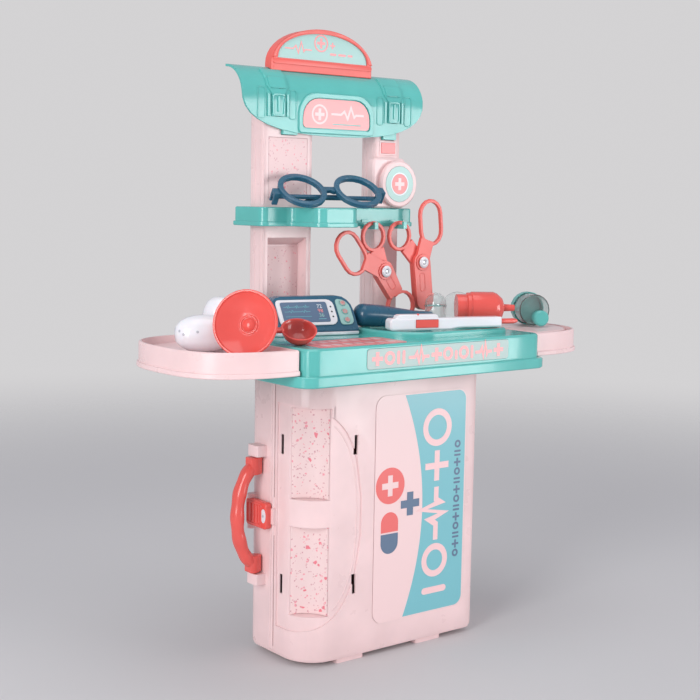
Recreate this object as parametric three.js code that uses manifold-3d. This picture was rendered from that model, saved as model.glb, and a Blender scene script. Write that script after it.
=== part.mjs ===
// Toy doctor case that stands on its end and carries a play table, a shelf and a canopy.
// Millimetres. Z is up, X runs along the front, Y runs to the back, and the floor is at Z = 0.
import * as THREE from "three";
import { mergeVertices } from "three/addons/utils/BufferGeometryUtils.js";
import Module from "manifold-3d";

const wasm = await Module();
wasm.setup();

// Walls and clearances that the pieces share
const wall = 2.6;
const seatGap = 0.3;
const slideGap = 0.5;
const overrun = 2;
const labelThickness = 0.7;
const labelRecess = 0.5;

// Facets
const facetDepth = 0.35;
const roundSteps = 20;
const smallRoundSteps = 12;
const softEdge = 4;
const curveSteps = 4;
const mergeTolerance = 1e-4;

// Case: two half shells that stand on end, split by an upright seam
const caseWidth = 241;
const caseDepth = 106;
const caseHeight = 310;
const caseFront = -51;
const seamY = 10.6;
const wrapRadius = 38;
const sideRadius = 10;
const backRadius = 14;
const caseEdge = 7;
const caseTop = caseHeight - seatGap;
const lipReach = 4;
const lipWall = 1.6;
const foot = { height: 4, inner: 37, outer: 74, depth: 12, inset: 5, radius: 3 };

// Canopy seat pressed into the rounded corner of the front shell
const seat = { height: 242, start: 15, arcEnd: 95, middle: 159, sink: 1.7, powerShare: 2.6, steps: 16 };
const pocket = { start: 6, end: 54, bow: 7.5, steps: 8, upperLow: 180, upperHigh: 277, lowerLow: 55, lowerHigh: 151 };
const slot = { width: 4.8, height: 21, upper: 236, lower: 85.5, offset: 24 };
const bead = { rise: 1.2, front: 3.8, back: 2.9, soft: 0.8 };
const panel = { left: -30, right: 100, low: 36, high: 276, radius: 12 };

// Hinge on the right, carry handle and latch on the left
const hinge = { pinRadius: 1.5, barrelRadius: 4, reach: 4.5, knuckle: 14, play: 0.4, leaf: 12, leafWall: 2.2 };
const hingeLow = 52;
const hingeHigh = 214;
const handle = { y: 31, low: 91, high: 218, reach: 31, grip: 13, thick: 15, wave: 1.4, edge: 3, fingers: 4 };
const boss = { reach: 12, depth: 20, height: 12, radius: 3, pinRadius: 2.6 };
const hubFlat = 1;
const latch = { low: 143, high: 170, frontY: 2, backY: 47, thick: 5, ribs: 5, ribWidth: 2.2, ribHeight: 1 };
const keeper = { front: 1, width: 7, height: 17, reach: 3.2 };

// Table
const table = { halfWidth: 161, front: -107, back: 102, top: 348, radius: 14, edge: 2 };
const flange = { halfWidth: 168.5, front: -110.6, back: 106, top: 321.3, radius: 18, edge: 1.2 };
const basin = { left: -20, right: 133, front: -84, back: 30, rise: 6, rim: 8, floor: 1.2, edge: 1.8 };
const basinCorner = { nearLeft: 48, right: 13, farLeft: 40 };
const topLabel = { left: -138, right: -28, front: -99, back: -48, radius: 5 };
const frontLabel = { left: -89, right: 107, low: 324, high: 344.5, radius: 3 };
const rib = { x: 62, halfWidth: 26, front: 16, back: 44, thick: 3 };

// Side trays
const tray = { inner: 163.7, outer: 266, front: -95, back: 88, top: 347, floor: 339, lip: 2, lipHeight: 5 };
const trayShapeShare = 3;
const traySteps = 20;
const pad = { inset: 11, rise: 8, edge: 1.2 };
const tongue = { halfWidth: 14, height: 6, reach: 9, offset: 52 };

// Columns
const column = { front: 69.5, back: 92.9, outer: 96.5, radius: 3, cover: 4, foot: 312, recess: 1.4 };
const leftInner = -29.5;
const rightInner = 58.4;
const insertBorder = 7.5;
const upperInsert = { low: 492, high: 558 };
const lowerPocket = { low: 362, high: 450, depth: 17.5, chamfer: 9 };
const columnLabel = { low: 545.5, high: 557.5, halfWidth: 10.2, rise: 1.2, border: 4 };
const badge = { x: 81.8, z: 510.5, radius: 26.9, thick: 6.4, label: 20.5, rim: 1.6 };
const badgeBlock = { left: 48, high: 540, depth: 11, radius: 6, edge: 2 };

// Shelf
const shelf = { halfWidth: 107, front: 54.8, back: 110.6, top: 482.5, height: 20.6, radius: 10, lip: 1.6, lipHeight: 5 };
const tongueShelf = { left: -68, right: -9, front: 4, radius: 13, fillet: 7 };
const hook = { width: 5, thick: 4.6, reach: 20.5, tip: 3, tipRise: 3.4 };

// Canopy and sign
const canopy = { halfWidth: 126, back: 98.8, radius: 34.5, bend: 600, low: 561, wall: 2.6, drop: 46, steps: 9, cornerSteps: 9 };
const canopyPowerShare = 2.6;
const strap = { x: 81, halfWidth: 14, rise: 1.5, startShare: 0.2, endShare: 0.8, tongue: 8 };
const arch = { left: -54, right: 51, low: 563.5, high: 608, rim: 5.2, rise: 1.9, radius: 24, inset: 2.2 };
const tab = { halfWidth: 9.5, low: 561, high: 575, reach: 5 };
const sign = { x: -8, halfWidth: 69.8, rise: 42.6, low: 636.4, skirt: 7, front: 81, thick: 15, rim: 7.5, recess: 2, edge: 1.6, sill: 8 };
const signPeg = { halfWidth: 12, depth: 4, length: 8 };

// Colours
const pink = 0xf3cfcf;
const mint = 0x6fccc4;
const coral = 0xee6a62;
const deepBlue = 0x2f6b86;
const white = 0xf4f2f4;
const paleMint = 0xa9dcd8;
const rose = 0xf5898b;
const slate = 0x5b7596;
const terrazzo = 0xeac6c6;
const steel = 0xc9ccd0;

function finish(color, roughness, metalness = 0) {
  return new THREE.MeshStandardMaterial({ color, roughness, metalness });
}

function clearFinish(color, opacity) {
  return new THREE.MeshStandardMaterial({ color, roughness: 0.1, metalness: 0, transparent: true, opacity });
}

const matte = { pink: finish(pink, 0.42), mint: finish(mint, 0.38), coral: finish(coral, 0.38) };
const gloss = { blue: finish(deepBlue, 0.3), white: finish(white, 0.3), coral: finish(coral, 0.3) };
const print = { mint: finish(paleMint, 0.35), rose: finish(rose, 0.4), slate: finish(slate, 0.25) };
const speckle = finish(terrazzo, 0.4);
const rod = finish(steel, 0.3, 1);
const clear = clearFinish(0xd8dde0, 0.4);

// Turns a closed geometry into a solid that can be joined and cut
function solidOf(geometry) {
  const bare = geometry.clone();
  bare.deleteAttribute("normal");
  bare.deleteAttribute("uv");
  const merged = mergeVertices(bare, mergeTolerance);
  const corners = merged.index.array;
  const kept = [];
  for (let i = 0; i < corners.length; i += 3) {
    const [a, b, c] = [corners[i], corners[i + 1], corners[i + 2]];
    if (a !== b && b !== c && c !== a) kept.push(a, b, c);
  }
  const build = (triangles) => new wasm.Manifold(new wasm.Mesh({
    numProp: 3,
    vertProperties: new Float32Array(merged.attributes.position.array),
    triVerts: new Uint32Array(triangles),
  }));
  const solid = build(kept);
  return solid.volume() < 0 ? build(kept.reverse()) : solid;
}

function geometryOf(solid) {
  const mesh = solid.getMesh();
  const geometry = new THREE.BufferGeometry();
  geometry.setAttribute("position", new THREE.BufferAttribute(new Float32Array(mesh.vertProperties), 3));
  geometry.setIndex(new THREE.BufferAttribute(new Uint32Array(mesh.triVerts), 1));
  geometry.computeVertexNormals();
  return geometry;
}

function fuse(first, ...others) {
  return others.reduce((sum, solid) => sum.add(solid), first);
}

function cut(body, ...tools) {
  return tools.reduce((rest, tool) => rest.subtract(tool), body);
}

// Extrusion of an outline from low to high, with its two end edges rounded by `edge`
function extrude(outline, low, high, edge) {
  const geometry = new THREE.ExtrudeGeometry(outline, {
    depth: high - low - 2 * edge,
    curveSegments: curveSteps,
    bevelEnabled: edge > 0,
    bevelThickness: edge,
    bevelSize: edge,
    bevelOffset: -edge,
    bevelSegments: edge > softEdge ? 2 : 1,
  });
  return geometry.translate(0, 0, low + edge);
}

// The outline lies in X and Y
function alongZ(outline, low, high, edge = 0) {
  return solidOf(extrude(outline, low, high, edge));
}

// The outline lies in X and Z
function alongY(outline, low, high, edge = 0) {
  return solidOf(extrude(outline, -high, -low, edge).rotateX(Math.PI / 2));
}

// The outline lies in Y and Z
function alongX(outline, low, high, edge = 0) {
  const turn = new THREE.Matrix4().makeBasis(
    new THREE.Vector3(0, 1, 0),
    new THREE.Vector3(0, 0, 1),
    new THREE.Vector3(1, 0, 0),
  );
  return solidOf(extrude(outline, low, high, edge).applyMatrix4(turn));
}

function box(left, right, front, back, low, high) {
  const geometry = new THREE.BoxGeometry(right - left, back - front, high - low);
  return solidOf(geometry.translate((left + right) / 2, (front + back) / 2, (low + high) / 2));
}

// Solid of revolution about Z from [radius, height] pairs that start and end on the axis or close
function turned(profile, steps = roundSteps) {
  const points = profile.map(([radius, height]) => new THREE.Vector2(radius, height));
  return solidOf(new THREE.LatheGeometry(points, steps).rotateX(Math.PI / 2));
}

// Round bar or disc about an axis parallel to Y
function discY(x, z, radius, front, back, steps = roundSteps) {
  const geometry = new THREE.CylinderGeometry(radius, radius, back - front, steps);
  return solidOf(geometry.translate(x, (front + back) / 2, z));
}

// Round bar about an axis parallel to Z
function barZ(x, y, radius, low, high, steps = smallRoundSteps) {
  const geometry = new THREE.CylinderGeometry(radius, radius, high - low, steps).rotateX(Math.PI / 2);
  return solidOf(geometry.translate(x, y, (low + high) / 2));
}

// Points along an arc, with facets that stay within facetDepth of the curve
function arcPoints(x, y, radius, from, to) {
  const step = 2 * Math.acos(1 - Math.min(facetDepth / radius, 0.5));
  const count = Math.ceil(Math.abs(to - from) / step);
  const points = [];
  for (let i = 0; i <= count; i += 1) {
    const angle = from + (to - from) * i / count;
    points.push([x + radius * Math.cos(angle), y + radius * Math.sin(angle)]);
  }
  return points;
}

// Rectangle with its four corners rounded: near left, near right, far right, far left
function rounded(left, right, low, high, radii) {
  const [a, b, c, d] = Array.isArray(radii) ? radii : [radii, radii, radii, radii];
  const corner = (x, y, radius, from) => (radius > 0 ? arcPoints(x, y, radius, from, from + Math.PI / 2) : [[x, y]]);
  return polygon([
    ...corner(left + a, low + a, a, Math.PI),
    ...corner(right - b, low + b, b, -Math.PI / 2),
    ...corner(right - c, high - c, c, 0),
    ...corner(left + d, high - d, d, Math.PI / 2),
  ]);
}

function polygon(points) {
  return new THREE.Shape(points.map(([x, y]) => new THREE.Vector2(x, y)));
}

function circle(x, y, radius) {
  return polygon(arcPoints(x, y, radius, 0, 2 * Math.PI).slice(1));
}

// Solid through a row of four-cornered sections, each listed the same way round
function lofted(sections) {
  const positions = sections.flat(2);
  const last = (sections.length - 1) * 4;
  const index = [0, 2, 1, 0, 3, 2, last, last + 1, last + 2, last, last + 2, last + 3];
  for (let i = 0; i < sections.length - 1; i += 1) {
    for (let side = 0; side < 4; side += 1) {
      const next = (side + 1) % 4;
      const [a, b] = [i * 4 + side, i * 4 + next];
      index.push(a, b, b + 4, a, b + 4, a + 4);
    }
  }
  const geometry = new THREE.BufferGeometry();
  geometry.setAttribute("position", new THREE.Float32BufferAttribute(positions, 3));
  geometry.setIndex(index);
  return solidOf(geometry);
}

const model = new THREE.Group();

function place(name, solid, material, group = model) {
  const mesh = new THREE.Mesh(geometryOf(solid), material);
  mesh.name = name;
  group.add(mesh);
  return mesh;
}

// Case shells
const caseLeft = -caseWidth / 2;
const caseRight = caseWidth / 2;
const caseBack = caseFront + caseDepth;

function caseBlock(inset, low, high, edge) {
  const radii = [wrapRadius, sideRadius, backRadius, backRadius].map((radius) => radius - inset);
  const outline = rounded(caseLeft + inset, caseRight - inset, caseFront + inset, caseBack - inset, radii);
  return alongZ(outline, low, high, edge);
}

// Where the plan of the front shell runs: down its left side, round the corner, along the front
function wrapPoint(distance, lift) {
  const arc = wrapRadius * Math.PI / 2;
  if (distance < 0) return [caseLeft - lift, caseFront + wrapRadius - distance];
  if (distance > arc) return [caseLeft + wrapRadius + distance - arc, caseFront - lift];
  const angle = distance / wrapRadius;
  const radius = wrapRadius + lift;
  return [
    caseLeft + wrapRadius - radius * Math.cos(angle),
    caseFront + wrapRadius - radius * Math.sin(angle),
  ];
}

// A plate that follows the plan of the front shell, from `lift` outside it to `sink` inside
function wrapPlate(start, end, steps, lift, sink, range) {
  const sections = [];
  for (let i = 0; i <= steps; i += 1) {
    const distance = start + (end - start) * i / steps;
    const [low, high] = range(distance);
    const outer = wrapPoint(distance, lift);
    const inner = wrapPoint(distance, -sink);
    sections.push([[...outer, low], [...inner, low], [...inner, high], [...outer, high]]);
  }
  return lofted(sections);
}

function seatRange(distance) {
  const share = Math.min(Math.max(distance / seat.arcEnd, 0), 1);
  const half = seat.height / 2 * Math.max(1 - share ** seat.powerShare, 0.01) ** (1 / seat.powerShare);
  return [seat.middle - half, seat.middle + half];
}

// The inserts' pockets are hollowed inward: an arc between two points of the rounded corner
const pocketRanges = {
  upper: [pocket.upperLow, pocket.upperHigh],
  lower: [pocket.lowerLow, pocket.lowerHigh],
};
function wrapPoints(start, end, lift) {
  const points = [];
  for (let i = 0; i <= pocket.steps; i += 1) {
    points.push(wrapPoint(start + (end - start) * i / pocket.steps, lift));
  }
  return points;
}
function hollowPoints(grow, trim) {
  const [first, last] = [wrapPoint(pocket.start, -seat.sink), wrapPoint(pocket.end, -seat.sink)];
  const halfChord = Math.hypot(last[0] - first[0], last[1] - first[1]) / 2;
  const radius = (halfChord ** 2 + pocket.bow ** 2) / (2 * pocket.bow);
  const along = [(last[0] - first[0]) / (2 * halfChord), (last[1] - first[1]) / (2 * halfChord)];
  const inward = [-along[1], along[0]];
  const middle = [(first[0] + last[0]) / 2, (first[1] + last[1]) / 2];
  const centre = [0, 1].map((axis) => middle[axis] - inward[axis] * (radius - pocket.bow));
  const spread = Math.asin(halfChord / radius) + (grow - trim) / radius;
  const points = [];
  for (let i = 0; i <= pocket.steps; i += 1) {
    const angle = spread * (2 * i / pocket.steps - 1);
    points.push([0, 1].map((axis) => centre[axis]
      + (radius + grow) * (inward[axis] * Math.cos(angle) + along[axis] * Math.sin(angle))));
  }
  return points;
}

function footAt(x, front) {
  const side = Math.sign(x);
  const [left, right] = [side * foot.inner, side * foot.outer].sort((a, b) => a - b);
  const outline = rounded(left, right, front, front + foot.depth, foot.radius);
  return alongZ(outline, 0, foot.height + wall / 2);
}

function knuckle(low, side) {
  const x = caseRight + hinge.reach;
  const ends = side < 0 ? [seamY - hinge.leaf, seamY - hinge.play] : [seamY + hinge.play, seamY + hinge.leaf];
  const leaf = box(caseRight - wall / 2, caseRight + hinge.leafWall, ...ends, low, low + hinge.knuckle);
  const arm = box(caseRight + seatGap, x, ...ends.map((y) => (Math.abs(y - seamY) > hinge.leaf / 2
    ? seamY + side * hinge.barrelRadius : y)).sort((a, b) => a - b), low, low + hinge.knuckle);
  const barrel = barZ(x, seamY, hinge.barrelRadius, low, low + hinge.knuckle);
  return fuse(leaf, arm, barrel);
}

const pinBore = barZ(
  caseRight + hinge.reach, seamY, hinge.pinRadius + seatGap, -overrun, caseHeight, smallRoundSteps);
const caseOuter = caseBlock(0, foot.height, caseTop, caseEdge);
const caseInner = caseBlock(wall, foot.height + wall, caseTop - wall, caseEdge - wall);
const frontZone = box(caseLeft * 2, caseRight * 2, caseFront * 2, seamY - seatGap / 2, -overrun, caseHeight);
const backZone = box(caseLeft * 2, caseRight * 2, seamY + seatGap / 2, caseBack * 2, -overrun, caseHeight);

let frontShell = fuse(
  caseOuter,
  footAt(-foot.inner, caseFront + foot.inset),
  footAt(foot.inner, caseFront + foot.inset),
);
frontShell = cut(frontShell, caseInner).intersect(frontZone);
const seatBack = (distance) => {
  const [low, high] = seatRange(distance);
  return [low - wall, high + wall];
};
frontShell = fuse(
  frontShell,
  wrapPlate(-seat.start, seat.arcEnd - wall, seat.steps, -wall / 2, seat.sink + wall / 2, seatBack),
);
for (const [low, high] of Object.values(pocketRanges)) {
  const wallInside = wrapPoints(pocket.start - wall, pocket.end + wall, -wall / 2);
  frontShell = fuse(frontShell, alongZ(
    polygon([...wallInside, ...hollowPoints(wall, 0).reverse()]), low - wall, high + wall));
}
frontShell = cut(frontShell, wrapPlate(-seat.start, seat.arcEnd, seat.steps, overrun, seat.sink, seatRange));
for (const [low, high] of Object.values(pocketRanges)) {
  const outside = wrapPoints(pocket.start, pocket.end, overrun);
  frontShell = cut(frontShell, alongZ(polygon([...outside, ...hollowPoints(0, 0).reverse()]), low, high));
}
const slotDistances = [-seat.start + slot.width, wrapRadius * Math.PI / 2 + slot.offset];
for (const distance of slotDistances) {
  for (const middle of [slot.lower, slot.upper]) {
    const range = () => [middle - slot.height / 2, middle + slot.height / 2];
    const cutter = wrapPlate(distance, distance + slot.width, 1, overrun, wall * 2, range);
    frontShell = cut(frontShell, cutter);
  }
}
const panelOutline = (grow) => rounded(
  panel.left - grow, panel.right + grow, panel.low - grow, panel.high + grow, panel.radius + grow);
frontShell = cut(frontShell, alongY(panelOutline(seatGap), caseFront - overrun, caseFront + labelRecess));
const keeperMiddle = (latch.low + latch.high) / 2;
const keeperBlock = box(
  caseLeft - keeper.reach, caseLeft + wall / 2, latch.frontY + keeper.front,
  latch.frontY + keeper.front + keeper.width, keeperMiddle - keeper.height / 2,
  keeperMiddle + keeper.height / 2);
frontShell = fuse(frontShell, keeperBlock.intersect(frontZone));
// Raised bead along the seam, on the side away from the hinge
const beadStrip = (front, back) => alongZ(
  rounded(caseLeft - bead.rise, caseLeft + wall / 2, front, back, [bead.soft, 0, 0, bead.soft]),
  foot.height + caseEdge, caseTop - caseEdge);
frontShell = fuse(frontShell, beadStrip(seamY - seatGap / 2 - bead.front, seamY - seatGap / 2));
for (const low of [hingeLow, hingeHigh]) {
  frontShell = fuse(frontShell, knuckle(low + hinge.knuckle + hinge.play, -1));
}
frontShell = cut(frontShell, pinBore);
place("front_shell", frontShell, matte.pink);

let backShell = fuse(
  caseOuter,
  footAt(-foot.inner, caseBack - foot.inset - foot.depth),
  footAt(foot.inner, caseBack - foot.inset - foot.depth),
);
backShell = cut(backShell, caseInner).intersect(backZone);
const lipInset = wall + slideGap;
const lipBand = cut(
  caseBlock(lipInset, foot.height + lipInset, caseTop - lipInset, caseEdge - lipInset),
  caseBlock(lipInset + lipWall, foot.height + lipInset + lipWall, caseTop - lipInset - lipWall, 0),
).intersect(box(caseLeft, caseRight, seamY - lipReach, seamY + lipReach, 0, caseHeight));
const lipRoot = cut(
  caseBlock(wall / 2, foot.height + wall / 2, caseTop - wall / 2, caseEdge - wall / 2),
  caseBlock(lipInset + lipWall, foot.height + lipInset + lipWall, caseTop - lipInset - lipWall, 0),
).intersect(box(caseLeft, caseRight, seamY + lipReach / 2, seamY + lipReach, 0, caseHeight));
backShell = fuse(backShell, lipBand, lipRoot, beadStrip(seamY + seatGap / 2, seamY + seatGap / 2 + bead.back));
for (const low of [hingeLow, hingeHigh]) {
  backShell = fuse(backShell, knuckle(low, 1), knuckle(low + 2 * (hinge.knuckle + hinge.play), 1));
}

// Bosses that hold the ends of the handle
const handlePivotX = caseLeft - boss.reach / 2;
const bossLows = [handle.low - boss.height - slideGap, handle.high + slideGap];
for (const low of bossLows) {
  const outline = rounded(
    caseLeft - boss.reach, caseLeft + wall / 2, handle.y - boss.depth / 2, handle.y + boss.depth / 2,
    [boss.radius, 0, 0, boss.radius]);
  backShell = fuse(backShell, alongZ(outline, low, low + boss.height));
}
const pinHoles = barZ(
  handlePivotX, handle.y, boss.pinRadius + seatGap,
  bossLows[0] + boss.height / 2, bossLows[1] + boss.height / 2);
backShell = cut(backShell, pinHoles);

// Ears that hold the latch pin
const latchPivot = { x: caseLeft - latch.thick, y: latch.backY - latch.thick };
for (const low of [latch.low - latch.thick - slideGap, latch.high + slideGap]) {
  const ear = fuse(
    barZ(latchPivot.x, latchPivot.y, latch.thick - slideGap, low, low + latch.thick),
    box(latchPivot.x, caseLeft + wall / 2, latchPivot.y - latch.thick + slideGap,
      latchPivot.y + latch.thick - slideGap, low, low + latch.thick),
  );
  backShell = fuse(backShell, ear);
}
const latchPinRadius = latch.thick / 3;
backShell = cut(backShell, barZ(
  latchPivot.x, latchPivot.y, latchPinRadius + seatGap,
  latch.low - latch.thick / 2 - slideGap - seatGap, latch.high + latch.thick / 2 + slideGap + seatGap));
place("back_shell", cut(backShell, pinBore), matte.pink);

const hingePin = barZ(
  caseRight + hinge.reach, seamY, hinge.pinRadius,
  hingeLow - hinge.play, hingeHigh + 3 * hinge.knuckle + 3 * hinge.play);
place("hinge_pin", hingePin, rod);

for (const [name, [low, high]] of Object.entries(pocketRanges)) {
  const outline = polygon([
    ...hollowPoints(-seatGap, wall / 2), ...hollowPoints(-seatGap - labelThickness, wall / 2).reverse(),
  ]);
  place(`case_${name}_insert`, alongZ(outline, low + slideGap, high - slideGap), speckle);
}
place("graphic_panel", alongY(
  panelOutline(0), caseFront + labelRecess - seatGap - labelThickness, caseFront + labelRecess - seatGap), print.mint);

// Carry handle: a C with finger waves along its inner side
function handleOutline() {
  const points = [];
  const outerSteps = 26;
  const steps = 26;
  const span = handle.high - handle.low;
  const outerX = caseLeft - handle.reach - handle.grip / 2;
  const rootStart = handlePivotX - hubFlat;
  for (let i = 0; i <= outerSteps; i += 1) {
    const turn = Math.PI * (i / outerSteps - 1 / 2);
    const share = Math.sign(turn) * Math.abs(Math.sin(turn)) ** 0.6;
    const wave = handle.wave * Math.cos(share * handle.fingers * Math.PI) * (1 - share ** 4);
    points.push([rootStart + (outerX - rootStart) * Math.cos(turn) + wave, handle.low + span * (share + 1) / 2]);
  }
  const innerX = outerX + handle.grip;
  const innerLow = handle.low + handle.grip;
  const innerSpan = span - 2 * handle.grip;
  for (let i = 0; i <= steps; i += 1) {
    const share = 1 - 2 * i / steps;
    const bulge = (1 - Math.abs(share) ** 5) ** 0.6;
    points.push([rootStart + (innerX - rootStart) * bulge, innerLow + innerSpan * (share + 1) / 2]);
  }
  return polygon(points);
}
const handleHub = [handle.low, handle.high - handle.grip].map((low) => barZ(
  handlePivotX, handle.y, boss.reach / 2 - slideGap, low, low + handle.grip));
const handlePegs = [
  barZ(handlePivotX, handle.y, boss.pinRadius, handle.low - boss.height / 2, handle.low + handle.grip / 2),
  barZ(handlePivotX, handle.y, boss.pinRadius, handle.high - handle.grip / 2, handle.high + boss.height / 2),
];
const handleBody = alongY(
  handleOutline(), handle.y - handle.thick / 2, handle.y + handle.thick / 2, handle.edge);
place("carry_handle", fuse(handleBody, ...handleHub, ...handlePegs), gloss.coral);

// Latch: a ribbed clip that turns on a pin and closes down on the keeper
const latchOuter = latchPivot.x - latch.thick / 2;
let latchClip = fuse(
  box(latchOuter - latch.thick / 2, latchOuter + latch.thick / 2, latch.frontY, latchPivot.y, latch.low, latch.high),
  barZ(latchPivot.x, latchPivot.y, latch.thick - slideGap, latch.low, latch.high),
  box(latchOuter, caseLeft - keeper.reach - seatGap, latch.frontY, latch.frontY + keeper.front + keeper.width,
    latch.low, latch.high),
  barZ(latchPivot.x, latchPivot.y, latchPinRadius, latch.low - latch.thick / 2, latch.high + latch.thick / 2),
);
const ribPitch = (latch.high - latch.low) / latch.ribs;
for (let i = 0; i < latch.ribs; i += 1) {
  const low = latch.low + ribPitch * (i + 0.5) - latch.ribWidth / 2;
  latchClip = fuse(latchClip, box(
    latchOuter - latch.thick / 2 - latch.ribHeight, latchOuter, latch.frontY + latch.ribWidth,
    latchPivot.y - latch.thick, low, low + latch.ribWidth));
}
place("latch_clip", latchClip, gloss.coral);

// Table: a thin moulding, open below, with a stepped flange round its foot
const tableBlock = (inset, low, high, edge) => alongZ(rounded(
  -table.halfWidth + inset, table.halfWidth - inset, table.front + inset, table.back - inset,
  table.radius - inset / 2), low, high, edge);
const flangeBlock = (inset, low, high, edge) => alongZ(rounded(
  -flange.halfWidth + inset, flange.halfWidth - inset, flange.front + inset, flange.back - inset,
  flange.radius - inset / 2), low, high, edge);
const basinRadii = [basinCorner.nearLeft, basinCorner.right, basinCorner.right, basinCorner.farLeft];
const basinOutline = (inset) => rounded(
  basin.left + inset, basin.right - inset, basin.front + inset, basin.back - inset,
  basinRadii.map((radius) => radius - inset));
let tableTop = fuse(
  flangeBlock(0, caseHeight, flange.top, flange.edge),
  tableBlock(0, caseHeight + wall, table.top, table.edge),
  alongZ(basinOutline(0), table.top - wall, table.top + basin.rise, basin.edge),
);
tableTop = cut(
  tableTop,
  flangeBlock(wall, caseHeight - overrun, flange.top - wall, 0),
  tableBlock(wall, caseHeight - overrun, table.top - wall, 0),
  alongZ(basinOutline(basin.rim), table.top + basin.floor, table.top + basin.rise + overrun),
);
for (const side of [-1, 1]) {
  for (const y of [rib.front, rib.back]) {
    const middle = side * rib.x;
    tableTop = fuse(tableTop, box(
      middle - rib.halfWidth, middle + rib.halfWidth, y - rib.thick / 2, y + rib.thick / 2,
      caseHeight, table.top - wall));
  }
}
const trayMiddleY = (tray.front + tray.back) / 2;
const tongueLow = (flange.top + tray.floor) / 2 - tongue.height / 2;
for (const side of [-1, 1]) {
  for (const offset of [-tongue.offset, tongue.offset]) {
    const y = trayMiddleY + offset;
    const [left, right] = [side * (table.halfWidth - wall - overrun), side * (table.halfWidth + overrun)]
      .sort((a, b) => a - b);
    tableTop = cut(tableTop, box(
      left, right, y - tongue.halfWidth - slideGap, y + tongue.halfWidth + slideGap,
      tongueLow - slideGap, tongueLow + tongue.height + slideGap));
  }
}
const columnSpans = { left: [-column.outer, leftInner], right: [rightInner, column.outer] };
for (const [left, right] of Object.values(columnSpans)) {
  tableTop = cut(tableTop, box(
    left - slideGap, right + slideGap, column.front - slideGap, column.back + slideGap,
    caseHeight + wall, table.top + overrun));
}
const socketFloor = caseHeight;
for (const [left, right] of Object.values(columnSpans)) {
  const outer = box(
    left - slideGap - wall, right + slideGap + wall, column.front - slideGap - wall,
    column.back + slideGap + wall, socketFloor, table.top - wall / 2);
  const inner = box(
    left - slideGap, right + slideGap, column.front - slideGap, column.back + slideGap,
    socketFloor + column.foot - caseHeight - seatGap, table.top + overrun);
  tableTop = fuse(tableTop, cut(outer, inner));
}
const frontLabelOutline = (grow) => rounded(
  frontLabel.left - grow, frontLabel.right + grow, frontLabel.low - grow, frontLabel.high + grow,
  frontLabel.radius + grow);
const topLabelOutline = (grow) => rounded(
  topLabel.left - grow, topLabel.right + grow, topLabel.front - grow, topLabel.back + grow,
  topLabel.radius + grow);
tableTop = cut(
  tableTop,
  alongY(frontLabelOutline(seatGap), table.front - overrun, table.front + labelRecess),
  alongZ(topLabelOutline(seatGap), table.top - labelRecess, table.top + overrun),
);
place("table", tableTop, matte.mint);
place("table_front_label", alongY(
  frontLabelOutline(0), table.front + labelRecess - seatGap - labelThickness,
  table.front + labelRecess - seatGap), print.mint);
const topLabelLow = table.top - labelRecess + seatGap;
place("table_top_label", alongZ(topLabelOutline(0), topLabelLow, topLabelLow + labelThickness), print.rose);

// Side trays: half-round, recessed on top, open below, with a lip round the foot
function trayOutline(inset) {
  const points = [];
  const reach = tray.outer - tray.inner;
  const half = (tray.back - tray.front) / 2;
  for (let i = 0; i <= traySteps; i += 1) {
    const angle = Math.PI * (i / traySteps - 0.5);
    const along = Math.cos(angle) ** (2 / trayShapeShare);
    const across = Math.sign(Math.sin(angle)) * Math.abs(Math.sin(angle)) ** (2 / trayShapeShare);
    points.push([
      tray.inner + inset + (reach - 2 * inset) * along,
      trayMiddleY + (half - inset) * across,
    ]);
  }
  return polygon(points);
}
const trayFoot = flange.top + seatGap;
let rightTray = fuse(
  alongZ(trayOutline(0), trayFoot + tray.lipHeight / 2, tray.top, 1.2),
  alongZ(trayOutline(-tray.lip), trayFoot, trayFoot + tray.lipHeight, 0.8),
);
rightTray = cut(
  rightTray,
  alongZ(trayOutline(wall * 1.2), tray.floor, tray.top + overrun),
  alongZ(trayOutline(wall), trayFoot - overrun, tray.floor - wall),
);
rightTray = rightTray.intersect(box(tray.inner, caseWidth * 2, tray.front * 2, tray.back * 2, 0, caseHeight * 2));
for (const offset of [-tongue.offset, tongue.offset]) {
  const y = trayMiddleY + offset;
  rightTray = fuse(rightTray, box(
    tray.inner - tongue.reach, tray.inner + wall / 2, y - tongue.halfWidth, y + tongue.halfWidth,
    tongueLow, tongueLow + tongue.height));
}
const leftTray = geometryOf(rightTray).scale(-1, 1, 1);
place("left_tray", solidOf(leftTray), matte.pink);

// The right tray's floor carries a raised platform
const padTop = tray.floor + pad.rise;
place("right_tray", fuse(
  rightTray,
  alongZ(trayOutline(pad.inset), tray.floor - wall / 2, padTop, pad.edge),
), matte.pink);

// Columns: hollow mouldings closed by a back cover, with a nose that fits under the canopy
const noseRadius = canopy.radius - canopy.wall - slideGap;
function columnNose() {
  const outline = new THREE.Shape();
  outline.moveTo(column.front, column.foot);
  outline.lineTo(column.back, column.foot);
  outline.lineTo(column.back, canopy.bend);
  const steps = 6;
  const backAngle = Math.acos((canopy.back - column.back) / noseRadius);
  const frontAngle = Math.acos(Math.min((canopy.back - column.front) / noseRadius, 1));
  for (let i = 0; i <= steps; i += 1) {
    const angle = backAngle + (frontAngle - backAngle) * i / steps;
    outline.lineTo(canopy.back - noseRadius * Math.cos(angle), canopy.bend + noseRadius * Math.sin(angle));
  }
  outline.lineTo(column.front, column.foot);
  return outline;
}

function columnBlock([left, right], inset) {
  const outline = rounded(
    left + inset, right - inset, column.front + inset, column.back + overrun, Math.max(column.radius - inset, 1));
  return alongZ(outline, column.foot, canopy.bend + canopy.radius);
}

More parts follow.
